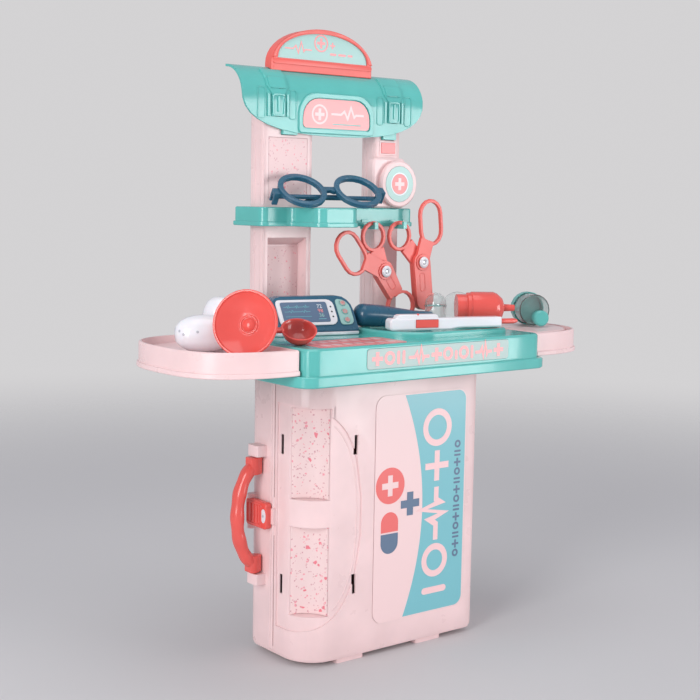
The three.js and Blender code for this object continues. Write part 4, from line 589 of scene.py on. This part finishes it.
def onto(name, face, across, along):
    """The surface of a node straight under a point of a face, keeping the face's directions."""
    above = moved_face(face, across, along, 30).middle
    return face._replace(middle=surface_hit(name, above, -face.out)[0])


def seen_surface(name, pixel_x, pixel_y):
    """The point of a node that the photograph shows at a pixel, as a face to settle on."""
    ahead, right, up = camera_directions()
    half = PHOTO_SIDE / 2
    line = ahead + right * (pixel_x - half) / FOCAL_PIXELS + up * (half - pixel_y) / FOCAL_PIXELS
    return node_surface(name, CAMERA_PLACE, line)


def close_points(points, step):
    """The same closed outline with a point at least every step."""
    dense = []
    for i, (x, y) in enumerate(points):
        nx, ny = points[(i + 1) % len(points)]
        count = max(1, math.ceil(math.hypot(nx - x, ny - y) / step))
        dense += [(x + (nx - x) * k / count, y + (ny - y) * k / count) for k in range(count)]
    return dense


# Mouldings of the canopy: spacing of their points, depth under its surface, way that they may be moved
RELIEF = {"spacing": 2.0, "sunk": 0.4, "start": 20, "limit": 80 * MM}


def add_canopy_relief(name, shapes, face, rise):
    """A raised moulding that follows the curve of the canopy, laid on it along Y."""
    piece = curve_object(name, [close_points(points, RELIEF["spacing"]) for points in shapes], True)
    piece.data.fill_mode = "BOTH"
    piece = as_mesh(piece)
    onto_face(piece, moved_face(face, out=RELIEF["start"]))
    make_active(piece)
    lie = piece.modifiers.new("lie_on_canopy", "SHRINKWRAP")
    lie.target = nodes["canopy"]
    lie.wrap_method = "PROJECT"
    lie.use_project_y = True
    lie.use_negative_direction = True
    lie.use_positive_direction = True
    lie.project_limit = RELIEF["limit"]
    bpy.ops.object.modifier_apply(modifier=lie.name)
    wall = piece.modifiers.new("wall", "SOLIDIFY")
    wall.thickness = (rise + RELIEF["sunk"]) * MM
    wall.offset = (rise - RELIEF["sunk"]) / (rise + RELIEF["sunk"])
    bpy.ops.object.modifier_apply(modifier=wall.name)
    return finished(piece, mint_shell, "stand", "mint")


# Table labels: motifs of the scale of letters
TALL = 14
PLUS, RING, BAR, LINE = (TALL / 2, 4.2), (TALL / 2, 3.3), (TALL, 3.6, 90), 3.1
front_label = face_of("table_front_label", FRONT)
add_print("front_label_motifs", (
    plus_shape(-85, 0, *PLUS) + ring_shape(-69, 0, *RING) + capsule_shape(-57.5, 0, *BAR)
    + capsule_shape(-50.5, 0, *BAR) + band_shape(pulse_points(-44, -16, -1, TALL), LINE)
    + plus_shape(-6, 0, *PLUS) + ring_shape(10, 0, *RING) + capsule_shape(21.5, -2, 10, 3.6, 90)
    + ring_shape(32.5, 0, *RING) + capsule_shape(44, 0, *BAR)
    + band_shape(pulse_points(49, 73, -1, TALL), LINE) + plus_shape(83, 0, *PLUS)),
    front_label, rose_print, "stand", "rose_print")
top_label = face_of("table_top_label", (0, 0, 1), (0, 1, 0))
add_print("top_label_squares", sum((
    box_shape(-42 + 14 * i, row, 9, 9, 2.2) for i in range(7) for row in (12, -12)), []),
    top_label, pale_rose_print, "stand", "rose_print")
add_print("top_label_lines", (
    band_shape(pulse_points(-48, 48, 0, 5, 4), 1.4)
    + capsule_shape(0, 20.5, 96, 1.3) + capsule_shape(0, -20.5, 96, 1.3)),
    top_label, rose_print, "stand", "rose_print")

# Front panel of the case: a blue field with a bowed edge, and motifs in pink, coral and slate
# Each print lies on the one below it, and the field's left edge bows from one height to the next
panel = moved_face(face_of("graphic_panel", FRONT), along=4.4)
PANEL = {"width": 130.6, "height": 249.4, "corner": 13}
panel_sheet = add_print(
    "case_front_panel", box_shape(0, 0, PANEL["width"], PANEL["height"], PANEL["corner"]), panel,
    pink_print, "front_case", "pink", 0.35, 0.25)
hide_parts("graphic_panel")
panel = moved_face(panel, out=0.1)
FIELD = {"right": 63.8, "top": 123.2, "corner": 11, "high": -25, "middle": 2.5, "low": -23, "steps": 40}
bow = []
for step in range(FIELD["steps"] + 1):
    down = step / FIELD["steps"]
    straight = FIELD["high"] + (FIELD["low"] - FIELD["high"]) * down
    bulge = FIELD["middle"] - (FIELD["high"] + FIELD["low"]) / 2
    bow.append((straight + 4 * down * (1 - down) * bulge, FIELD["top"] * (1 - 2 * down)))
corner_x, corner_z = FIELD["right"] - FIELD["corner"], FIELD["top"] - FIELD["corner"]
right_side = (arc_points(corner_x, -corner_z, FIELD["corner"], -90, 0, 9)
              + arc_points(corner_x, corner_z, FIELD["corner"], 0, 90, 9))
add_print("panel_blue_field", [bow + right_side], panel, pale_blue_print, "front_case", "pale_mint_print")
panel_top = moved_face(panel, out=0.2)
add_print("panel_large_motifs", (
    ring_shape(22, 84, 21, 7.2) + plus_shape(22.5, 41, 17, 7.2)
    + turned_upright(band_shape(pulse_points(-43, 17, -22.5, 31), 6.6))
    + ring_shape(22, -66, 19, 7.2) + capsule_shape(22, -100, 36, 7.4)),
    panel_top, pale_rose_print, "front_case", "rose_print")
ROW = {"x": 52.8, "top": 62.4, "step": 10.4, "count": 13}
small_row = []
for index in range(ROW["count"]):
    x, z = ROW["x"], ROW["top"] - ROW["step"] * index
    if index % 3 == 0:
        small_row += ring_shape(x, z, 4.4, 2.3)
    elif index % 3 == 1:
        small_row += capsule_shape(x, z + 2.2, 9.6, 2.3) + capsule_shape(x, z - 2.2, 9.6, 2.3)
    else:
        small_row += plus_shape(x, z, 4.8, 2.4)
add_print("panel_small_motifs", small_row + plus_shape(-15.5, 3, 13, 8.6), panel_top, slate_print,
          "front_case", "slate_print")
add_print("panel_roundel", [ring_points(-44, 26, 20, 60)] + plus_shape(-44, 26, 11.5, 6.8), panel,
          coral_print, "front_case", "rose_print")
CAPSULE = {"x": -44, "z": -26, "radius": 12, "half": 11, "gap": 0.9}
for end, way, finish, slot in (
        ("upper", 1, coral_print, "rose_print"), ("lower", -1, slate_print, "slate_print")):
    cap = [(CAPSULE["x"] + way * x, CAPSULE["z"] + way * (CAPSULE["half"] + z))
           for x, z in arc_points(0, 0, CAPSULE["radius"], 0, 180, 18)]
    foot = [(CAPSULE["x"] + way * side * CAPSULE["radius"], CAPSULE["z"] + way * CAPSULE["gap"])
            for side in (-1, 1)]
    add_print(f"panel_capsule_{end}", [cap + foot], panel, finish, "front_case", slot)

# Canopy, sign and badge labels
canopy_face = face_of("canopy_label", FRONT)
add_print("canopy_label_motifs", (
    ring_shape(-24, -1, 11, 2.2) + plus_shape(-24, -1, 6.4, 3.6)
    + band_shape(pulse_points(-8, 38, 0, 12), 2.4)),
    canopy_face, pale_rose_print, "stand", "rose_print")
add_print("canopy_label_line", capsule_shape(14, -11, 40, 1.4), canopy_face, key_mint, "stand", "mint")
sign_face = face_of("sign_label", FRONT)
add_print("sign_label_motifs", (
    ring_shape(-3, 2.5, 9.6, 1.7) + plus_shape(-3, 2.5, 5.6, 3)
    + band_shape(pulse_points(-52, -16, -6, 12), 1.4) + plus_shape(13, 1, 3.4, 1.8)
    + capsule_shape(14, -8.5, 9, 2.4) + capsule_shape(26.5, -8.5, 11, 2.4) + capsule_shape(38, -8.5, 7, 2.4)),
    sign_face, rose_print, "stand", "rose_print")
badge_face = face_of("badge_label", FRONT)
add_print("badge_roundel", [ring_points(0, 0, 11.6, 48)] + plus_shape(0, 0, 7, 4.2),
          badge_face, deep_rose_print, "stand", "rose_print")
add_print("badge_roundel_plus", plus_shape(0, 0, 6.9, 4.1), badge_face, pale_rose_print,
          "stand", "rose_print")
add_print("badge_roundel_rim", ring_shape(0, 0, 13.2, 1.3), badge_face, white_print, "stand", "white")

# Monitor: traces and plain numbers on the screen, sound holes as dark discs of painted shade, icons on the
# keys
monitor_out = (-0.2, -1, 0.9)
screen = face_of("monitor_screen", monitor_out)
add_print("screen_traces", (
    band_shape(pulse_points(-24, 6, 6.4, 3.6, 3), 0.45) + band_shape(pulse_points(-24, 6, 0.6, 3.0, 2), 0.45)
    + capsule_shape(-9, -5.4, 30, 0.4) + capsule_shape(18, -8.8, 9, 0.6)),
    screen, pale_blue_print, "monitor", "pale_mint_print")
for number_name, words, along, finish in (
        ("screen_number_high", "72", 6.8, white_print), ("screen_number_middle", "98", 1.2, rose_print),
        ("screen_number_low", "36", -4.4, pale_mint_print)):
    add_number(number_name, words, 18, along, 6.2, screen, finish, "monitor", "white")
hole_profile = [(0.0, 0.25), (0.7, 0.2), (1.05, 0.05), (1.15, -0.3), (0.0, -0.3)]
for index, along in enumerate((6.2, 0.0, -6.2), 1):
    settle(turned(f"monitor_sound_hole_{index}", hole_profile, 20),
           onto("monitor_bezel", screen, 31.3, along), painted_hole_shade, "monitor", "slate_print")
key_profile = [(0.0, -0.05), (2.7, -0.05), (2.9, 0.1), (3.15, 0.0), (3.35, -0.4), (3.35, -2.1), (0.0, -2.1)]
for index in (1, 2, 3):
    key = face_of(f"monitor_key_{index}", monitor_out)
    icon = capsule_shape(0, 0, 2.6, 0.8) if index == 2 else plus_shape(0, 0, 1.2, 0.7)
    button = settle(turned(f"monitor_button_{index}", key_profile, 32), key, key_mint, f"key_{index}",
                    "pale_mint_print")
    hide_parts(f"monitor_key_{index}")
    add_print(f"key_icon_{index}", ring_shape(0, 0, 2.5, 0.7) + icon, key, deep_rose_print, f"key_{index}",
              "coral", 0.25, 0.1)

# Forceps: domed caps with a sunk screw whose cross slot is painted shade, and raised outlines on the blades
cap_profile = [
    (2.6, 0.2), (3.0, 1.3), (4.0, 1.9), (5.2, 1.7), (6.3, 0.7), (6.7, -0.1), (6.6, -0.5), (2.6, -0.3),
    (2.6, 0.2)]
screw_profile = [(0.0, 0.6), (1.6, 0.5), (2.3, 0.2), (2.5, -0.3), (0.0, -0.3)]
for side in ("left", "right"):
    rivet = face_of(f"{side}_forceps_rivet", FRONT)
    settle(turned(f"{side}_rivet_cap", cap_profile), rivet, white_gloss, f"{side}_forceps", "white")
    settle(turned(f"{side}_rivet_screw", screw_profile, 24), rivet, steel_wire, f"{side}_forceps", "steel")
    add_print(f"{side}_rivet_screw_slot", plus_shape(0, 0, 1.4, 0.5), moved_face(rivet, out=0.42, turn=20),
              painted_hole_shade, f"{side}_forceps", "slate_print", 0.15, 0.05)

for side, pixel, turn, width, height in (
        ("left", (391, 283), 36, 9, 17), ("right", (422.5, 282), 6, 8.5, 22)):
    blade = moved_face(seen_surface(f"{side}_forceps_free_half", *pixel), turn=turn)
    add_print(f"{side}_blade_outline", frame_shape(0, 0, width, height, 1, 3.6, 2.8), blade, coral_satin,
              f"{side}_forceps_free", "coral", 0.55, 0.3, 0.15)

# Reflector dish: the same dish with a smooth hollow, a grooved rim and a ringed boss
DISH = {"place": (-204.0, -62.0, 371.82), "turn": -54.0, "lean": 13.0, "power": 2.3}
DISH_OUTSIDE = {"radius": 33.0, "deep": -13.0, "steps": 16}
DISH_INSIDE = {"radius": 29.2, "deep": -10.3, "rise": 11.0, "steps": 14, "boss_at": 4}
dish_heading, dish_lean = math.radians(DISH["turn"]), math.radians(DISH["lean"])
dish_out = Vector((
    math.sin(dish_heading) * math.cos(dish_lean), -math.cos(dish_heading) * math.cos(dish_lean),
    math.sin(dish_lean)))
outside_steps = [i / DISH_OUTSIDE["steps"] for i in range(DISH_OUTSIDE["steps"] + 1)]
inside_steps = [i / DISH_INSIDE["steps"] for i in range(DISH_INSIDE["steps"], DISH_INSIDE["boss_at"], -1)]
dish_rim = [(33.3, 1.4), (33.0, 2.7), (32.2, 3.2), (31.0, 3.1), (30.4, 2.4), (30.1, 1.4), (29.6, 1.0)]
dish_boss = [(9.6, -9.0), (9.0, -8.3), (8.2, -8.3), (7.6, -9.0), (6.9, -9.2), (6.0, -8.2), (4.0, -6.9),
             (2.0, -6.3), (0.0, -6.1)]
dish_profile = [
    (DISH_OUTSIDE["radius"] * s, DISH_OUTSIDE["deep"] * (1 - s ** DISH["power"])) for s in outside_steps]
dish_profile += dish_rim + [
    (DISH_INSIDE["radius"] * s, DISH_INSIDE["deep"] + DISH_INSIDE["rise"] * s ** DISH["power"])
    for s in inside_steps] + dish_boss
dish_piece = settle(turned("smooth_reflector_dish", dish_profile, 72), plain_face(*DISH["place"], dish_out),
                    coral_gloss, "dish", "coral", 30)
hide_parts("reflector_dish")

# Bowl: a rounder, shallower bowl than the solid's, with a rolled rim
BOWL = {"place": (-143.5, -66.0, 363.0), "out": (-0.22, -0.46, 0.86)}
bowl_outer = [(4.5, -13.2), (8.5, -12.4), (12.0, -10.2), (14.8, -7.2), (16.6, -3.8), (17.6, -0.6)]
bowl_inner = [(15.8, -1.4), (14.6, -4.0), (12.6, -6.9), (9.8, -9.4), (6.2, -10.9), (0.0, -11.5)]
bowl_rim = [(18.2, 0.3), (18.1, 1.1), (17.4, 1.4), (16.6, 0.9)]
bowl_profile = [(0.0, -13.2)] + bowl_outer + bowl_rim + bowl_inner
bowl_face = plain_face(*BOWL["place"], BOWL["out"])
bowl_piece = settle(turned("rimmed_bowl", bowl_profile, 56), bowl_face, bowl_coral, "bowl_toy", "coral")
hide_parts("bowl")
add_print("bowl_stem", capsule_shape(-20, 1, 11, 6.4), bowl_face, bowl_coral, "bowl_toy", "coral",
          3.4, 2.6, 1.2)

# Carry handle: a full round grip with finger waves that fade out at its tapered ends, on two blocks that
# turn on the bosses' pins. Its points lie closer together near the ends, where it bends most.
GRIP = {"x": -126.5, "bulge": 24.6, "half": 54.4, "z": 154.5, "y": 31.0, "radius": 6.9, "deep": 1.16,
        "power": 2.1, "out_power": 1.7, "crowding": 1.25, "steps": 72}
WAVE = {"height": 0.06, "count": 5.0, "fade_power": 6}
TAPER = {"share": 0.22, "power": 12}
grip_line, grip_radii = [], []
for step in range(GRIP["steps"] + 1):
    share = 2 * step / GRIP["steps"] - 1
    arc = math.copysign(1 - (1 - abs(share)) ** GRIP["crowding"], share)
    out_share = (1 - abs(arc) ** GRIP["power"]) ** (1 / GRIP["out_power"])
    grip_line.append((GRIP["x"] - GRIP["bulge"] * out_share, 0.0, GRIP["half"] * arc))
    wave = WAVE["height"] * math.cos(math.tau * WAVE["count"] * share / 2)
    taper = 1 - TAPER["share"] * abs(share) ** TAPER["power"]
    grip_radii.append((1 + wave * (1 - abs(share) ** WAVE["fade_power"])) * taper)
grip = curve_object("carry_grip", [grip_line], False)
for point, radius in zip(grip.data.splines[0].points, grip_radii):
    point.radius = radius
grip.data.bevel_depth = GRIP["radius"] * MM
grip.data.bevel_resolution = 8
grip.data.use_fill_caps = True
grip = as_mesh(grip)
grip.data.transform(Matrix.Diagonal((1.0, GRIP["deep"], 1.0, 1.0)))
settle(grip, plain_face(0, GRIP["y"], GRIP["z"], *LEVEL), coral_gloss, "handle", "coral", 50)
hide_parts("carry_handle")
hub_side = [(-1.5, 7.0), (-4.5, 8.0), (-8.5, 7.6), (-10.5, 6.0)]
hub_outline = arc_points(0, 0, 5.6, -75, 75, 15) + hub_side + [(x, -y) for x, y in hub_side[::-1]]
for end, low, pin_start in (("upper", 199, 2), ("lower", 92, -4)):
    hub = plain_face(GRIP["x"], GRIP["y"], low, *LEVEL)
    add_print(f"carry_grip_{end}_block", [hub_outline], hub, coral_gloss, "handle", "coral", 18.4, 0.0, 1.0)
    add_print(f"carry_grip_{end}_pin", [ring_points(0, 0, 2.4, 24)], moved_face(hub, out=pin_start),
              coral_gloss, "handle", "coral", 20, 0.0)

# Latch: a shorter block than the solid's, with a frame, upright ribs and a pale catch
LATCH = {"middle": (-122.6, 27.2, 156.5), "width": 38.6, "height": 29.0, "thick": 7.4}
RAISED = (1.1, 0.3, 0.35)
latch_face = plain_face(*LATCH["middle"], (-1, 0, 0))
latch_body = add_print("latch_block", box_shape(0, 0, LATCH["width"], LATCH["height"], 4), latch_face,
                       coral_gloss, "latch", "coral", LATCH["thick"], 0.0, 1.3)
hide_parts("latch_clip")
latch_front = moved_face(latch_face, out=LATCH["thick"])
add_print("latch_frame", frame_shape(-2.5, 0, 29, 25, 1.8, 3, 2), latch_front,
          coral_gloss, "latch", "coral", *RAISED)
add_print("latch_ribs", sum((capsule_shape(x, 0, 20, 2.4, 90) for x in (-9.5, -3.5, 2.5, 7.0)), []),
          latch_front, coral_gloss, "latch", "coral", *RAISED)
add_print("latch_pin", [ring_points(0, 0, 1.6, 20)], plain_face(-125.5, 42, 140.5, *LEVEL), coral_gloss,
          "latch", "coral", 32, 0.0)

# Case corner: the second, inner outline of the canopy's seat, drawn round the corner as a fine raised line
SEAT = {"half_height": 115.5, "start": -0.8, "end": 89.0, "middle": 159.0, "power": 2.6,
        "shown_from": 57.0, "steps": 96}
CORNER = {"left": -120.5, "front": -51.0, "radius": 38.0}
seat_line = []
for step in range(SEAT["steps"] + 1):
    angle = math.pi * (step / SEAT["steps"] - 0.5)
    reach = abs(math.cos(angle)) ** (2 / SEAT["power"])
    rise = math.copysign(abs(math.sin(angle)) ** (2 / SEAT["power"]), math.sin(angle))
    seat_line.append((SEAT["start"] + (SEAT["end"] - SEAT["start"]) * reach,
                      SEAT["middle"] + SEAT["half_height"] * rise))


def on_corner(distance, z):
    """The front shell's surface at a distance along its plan, from the start of the rounded corner."""
    arc_length = CORNER["radius"] * math.pi / 2
    if distance <= arc_length:
        angle = distance / CORNER["radius"]
        toward = Vector((math.cos(angle), math.sin(angle), 0))
        centre = Vector((CORNER["left"] + CORNER["radius"], CORNER["front"] + CORNER["radius"], z))
        start = centre - toward * (CORNER["radius"] + 30)
    else:
        toward = Vector((0, 1, 0))
        start = Vector((CORNER["left"] + CORNER["radius"] + distance - arc_length, CORNER["front"] - 30, z))
    hit, place, _, _ = nodes["front_shell"].ray_cast(start * MM, toward)
    return place / MM if hit else None


ridge_points = [on_corner(distance, z) for distance, z in seat_line if distance > SEAT["shown_from"]]
ridge = curve_object("seat_inner_line", [[tuple(point) for point in ridge_points if point]], False)
ridge.data.bevel_depth = 0.55 * MM
ridge.data.bevel_resolution = 3
ridge.data.use_fill_caps = True
finished(as_mesh(ridge), pink_shell, "front_case", "pink", 60)

# Sign: the moulded rim that runs round over the label, between two domes of half width, base and rise
SIGN = {"x": -8.0, "y": 82.0, "outer": (69.4, 638.4, 40.2), "inner": (62.3, 646.4, 28.0), "foot": 644.4}


def dome_points(half, base, rise):
    return [(half * x, max(base + rise * z, SIGN["foot"])) for x, z in arc_points(0, 0, 1, 0, 180, 36)]


add_print("sign_rim", [dome_points(*SIGN["outer"]) + dome_points(*SIGN["inner"])[::-1]],
          plain_face(SIGN["x"], SIGN["y"], 0, FRONT), coral_satin, "stand", "coral", 1.5, 0.1, 0.4)
add_print("sign_sill", box_shape(0, 640.6, 137, 5.6, 2.4),
          plain_face(SIGN["x"], SIGN["y"] - 1, 0, FRONT), coral_satin, "stand", "coral", 1.2, 0.2, 0.5)

# Glasses: full round rims over the thin frame
glasses_face = face_of("glasses_frame", (-0.1, -0.6, 0.8))
for side, across in (("left", -33.35), ("right", 33.35)):
    add_print(f"glasses_{side}_rim", [ring_points(0, 0, 27.4, 56), ring_points(0, 0, 21.2, 56)],
              moved_face(glasses_face, across), blue_gloss, "glasses", "deep_blue", 2.6, 0.5, 0.9)

# Canopy: plates and buckle frames on the straps, and outlined side panels. Each has its outline, its distance
# from the canopy's middle as a share of the strap's, its height and its rise.
STRAP_X = 81
canopy_reliefs = (
    ("strap_plate", box_shape(0, 0, 22, 12, 2), 1, 616, 0.9),
    ("buckle", frame_shape(0, 0, 16, 24, 1.7, 3, 2), 1, 592, 0.9),
    ("buckle_pin", capsule_shape(0, 1, 17, 2.6, 90), 1, 592, 1.2),
    ("inner_panel", frame_shape(0, 0, 10, 32, 1, 3, 2), 0.755, 593, 0.6),
    ("outer_panel", frame_shape(0, 0, 11, 34, 1, 3.5, 2.5), 1.265, 594, 0.6))
for side, x in (("left", -STRAP_X), ("right", STRAP_X)):
    for part, shapes, share, z, rise in canopy_reliefs:
        add_canopy_relief(f"canopy_{side}_{part}", shapes, plain_face(x * share, 40, z, FRONT), rise)

# Columns: fine ribs up their fronts and sides
RIB_WIDTH = 1.3
RIB_FORM = (0.8, 0.3, 0.2)
rib_spans = (("lower", 352, 456), ("upper", 486, 556))
for side, edges in (("left", (-94.4, -31.6)), ("right", (60.5, 94.4))):
    for span, low, high in rib_spans:
        shape = capsule_shape(0, 0, high - low, RIB_WIDTH, 90)
        for place, x in zip(("outer", "inner"), edges):
            column_front = node_surface(f"{side}_column", (x, -60, (low + high) / 2), (0, 1, 0))
            add_print(f"{side}_column_{place}_{span}_rib", shape, column_front, pink_shell, "stand", "pink",
                      *RIB_FORM)
        for index, y in enumerate((73.5, 84.0), 1):
            flank = plain_face(-96.5 if side == "left" else 58.4, y, (low + high) / 2, (-1, 0, 0))
            add_print(f"{side}_column_flank_{index}_{span}_rib", shape, flank, pink_shell, "stand", "pink",
                      *RIB_FORM)

# Case: painted shadow lines, dark strips beside the seam of the two shells, where the left side shows them
for place, y, spans in (
        ("front", 6.0, ((14, 136), (177, 298))), ("middle", 10.2, ((10, 136), (177, 300)))):
    for index, (low, high) in enumerate(spans, 1):
        line = node_surface("front_shell", (-200, y, (low + high) / 2), (1, 0, 0))
        add_print(f"case_seam_{place}_{index}", capsule_shape(0, 0, high - low, 0.8, 90), line,
                  seam_shade, "front_case", "pink", 0.3, 0.15)

# Back: screws in the covers and the shell, with slots of painted shade, and a raised frame round the shell's
# panel
screw_head = [(0.0, 1.1), (1.5, 1.05), (2.5, 0.75), (3.0, 0.2), (3.1, -0.3), (0.0, -0.3)]
boss_ring = [(3.6, 0.3), (4.0, 0.8), (5.2, 0.8), (5.7, 0.2), (5.7, -0.3), (3.6, -0.3), (3.6, 0.3)]
SCREW_TURN = 15
BEHIND = 300
back_screws = [(f"{side}_column_cover", x, z)
               for side, x in (("left", -63), ("right", 77.5)) for z in (330, 425, 500, 592)]
back_screws += [("back_shell", x, z) for x in (-96, 96) for z in (26, 284)]
for index, (carrier, x, z) in enumerate(back_screws):
    name = f"back_screw_{index + 1}"
    seat = node_surface(carrier, (x, BEHIND, z), FRONT)
    settle(turned(name, screw_head, 24), seat, steel_wire, "stand", "steel")
    add_print(f"{name}_slot", plus_shape(0, 0, 1.7, 0.6), moved_face(seat, out=1.0, turn=SCREW_TURN * index),
              painted_hole_shade, "stand", "slate_print", 0.2, 0.08)
    settle(turned(f"{name}_ring", boss_ring, 32), seat, pink_shell, "stand", "pink")
add_print("back_shell_frame", frame_shape(0, 0, 170, 236, 1.75, 14, 12.5),
          node_surface("back_shell", (0, BEHIND, 155), FRONT), pink_shell, "stand", "pink", 1.1, 0.3, 0.3)
add_print("sign_back_frame", (
    ring_shape(-36, -4, 5, 1.2) + ring_shape(36, -4, 5, 1.2) + capsule_shape(0, -16, 96, 1.6)),
    node_surface("sign_frame", (SIGN["x"], BEHIND, 655), FRONT), coral_gloss, "stand", "coral",
    0.9, 0.3, 0.25)

# Small parts of the toys: vents of the bulb, a lamp dot, a filling hole drawn as a dark print of painted
# shade, the catch of the latch
vent_profile = [(0.0, 0.35), (0.9, 0.3), (1.35, 0.1), (1.45, -0.3), (0.0, -0.3)]
# The vents are grey discs, painted shade standing in for holes
for index, pixel in enumerate(((179.5, 331), (183.5, 334.5), (197.5, 332)), 1):
    settle(turned(f"bulb_vent_{index}", vent_profile, 20), seen_surface("lying_bulb", *pixel),
           grey_vent, "first_bulb", "white")
settle(turned("thermometer_lamp", vent_profile, 20), seen_surface("thermometer_body", 418, 314.5),
       coral_gloss, "thermometer", "coral")
add_print("jar_filling_hole", capsule_shape(0, 0, 6, 2.8), seen_surface("jar_cap", 524, 296), painted_hole_shade,
          "jar_lid", "slate_print", 0.5, 0.3, 0.1)
CATCH = {"across": 14.6, "radius": 4.0, "tall": 1.9}
catch_outline = [(x, z * CATCH["tall"]) for x, z in ring_points(0, 0, CATCH["radius"], 32)]
add_print("latch_catch", [catch_outline], moved_face(latch_front, CATCH["across"]),
          white_gloss, "latch", "white", 1.0, 0.3, 0.3)
add_print("latch_catch_dot", [ring_points(0, 0, 1.5, 20)], moved_face(latch_front, CATCH["across"], 0, 0.6),
          grey_vent, "latch", "white", 0.5, 0.1, 0.1)


# Stage: a floor that fades into the backdrop between two distances in metres, lamps and the camera
BACKDROP = (0.83, 0.825, 0.83)
FLOOR_FADE = (0.7, 2.4)
LAMP_AIM = (0.0, 0.0, 0.35)


def floor_material():
    material, tree, shader = material_tree("pale_floor")
    place = add_node(tree, "ShaderNodeTexCoord").outputs["Object"]
    distance = add_node(tree, "ShaderNodeVectorMath", {0: place}, operation="LENGTH").outputs["Value"]
    fade = add_node(tree, "ShaderNodeMapRange", {
        "Value": distance, "From Min": FLOOR_FADE[0], "From Max": FLOOR_FADE[1]},
        interpolation_type="SMOOTHSTEP").outputs["Result"]
    fill(tree, shader, {"Base Color": linear(BACKDROP), "Roughness": 0.7})
    bare = add_node(tree, "ShaderNodeBsdfTransparent")
    mix = add_node(tree, "ShaderNodeMixShader", {
        0: fade, 1: shader.outputs["BSDF"], 2: bare.outputs["BSDF"]})
    output = next(n for n in tree.nodes if n.type == "OUTPUT_MATERIAL")
    tree.links.new(mix.outputs["Shader"], output.inputs["Surface"])
    return material


def add_floor():
    deselect()
    bpy.ops.mesh.primitive_circle_add(vertices=96, radius=3.0, fill_type="NGON", location=(0, 0, 0))
    floor = bpy.context.object
    floor.name = "floor"
    floor.data.materials.append(floor_material())


def add_world():
    world = bpy.data.worlds.new("studio")
    bpy.context.scene.world = world
    world.use_nodes = True
    tree = world.node_tree
    tree.nodes.clear()
    output = add_node(tree, "ShaderNodeOutputWorld")
    rays = add_node(tree, "ShaderNodeLightPath")
    seen = add_node(tree, "ShaderNodeMath", {
        0: rays.outputs["Is Camera Ray"], 1: rays.outputs["Is Transmission Ray"]}, operation="MAXIMUM")
    light = add_node(tree, "ShaderNodeBackground", {"Color": linear((0.97, 0.97, 1.0)), "Strength": 0.50})
    backdrop = add_node(tree, "ShaderNodeBackground", {"Color": linear(BACKDROP), "Strength": 1.0})
    mix = add_node(tree, "ShaderNodeMixShader", {
        0: seen.outputs["Value"], 1: light.outputs["Background"], 2: backdrop.outputs["Background"]})
    tree.links.new(mix.outputs["Shader"], output.inputs["Surface"])


def add_softbox(name, place, size, power):
    light = bpy.data.lights.new(name, "AREA")
    light.shape = "RECTANGLE"
    light.size, light.size_y = size
    light.energy = power
    lamp = bpy.data.objects.new(name, light)
    bpy.context.scene.collection.objects.link(lamp)
    lamp.location = place
    lamp.rotation_euler = (Vector(LAMP_AIM) - Vector(place)).to_track_quat("-Z", "Y").to_euler()


def add_camera():
    ahead, right, up = camera_directions()
    data = bpy.data.cameras.new("photo_camera")
    data.sensor_width = 36
    data.lens = FOCAL_PIXELS / PHOTO_SIDE * data.sensor_width
    camera = bpy.data.objects.new("photo_camera", data)
    bpy.context.scene.collection.objects.link(camera)
    columns = Matrix((right, up, -ahead)).transposed().to_4x4()
    camera.matrix_world = Matrix.Translation(CAMERA_PLACE * MM) @ columns
    bpy.context.scene.camera = camera


add_floor()
add_world()
add_softbox("front_left_softbox", (-1.8, -0.7, 0.75), (0.7, 1.3), 22)
add_softbox("front_right_softbox", (1.45, -2.05, 0.4), (1.3, 1.1), 28)
add_softbox("top_softbox", (-0.1, -0.2, 2.0), (1.2, 1.2), 7)
add_camera()
bpy.context.scene.view_settings.view_transform = "Standard"

deselect()
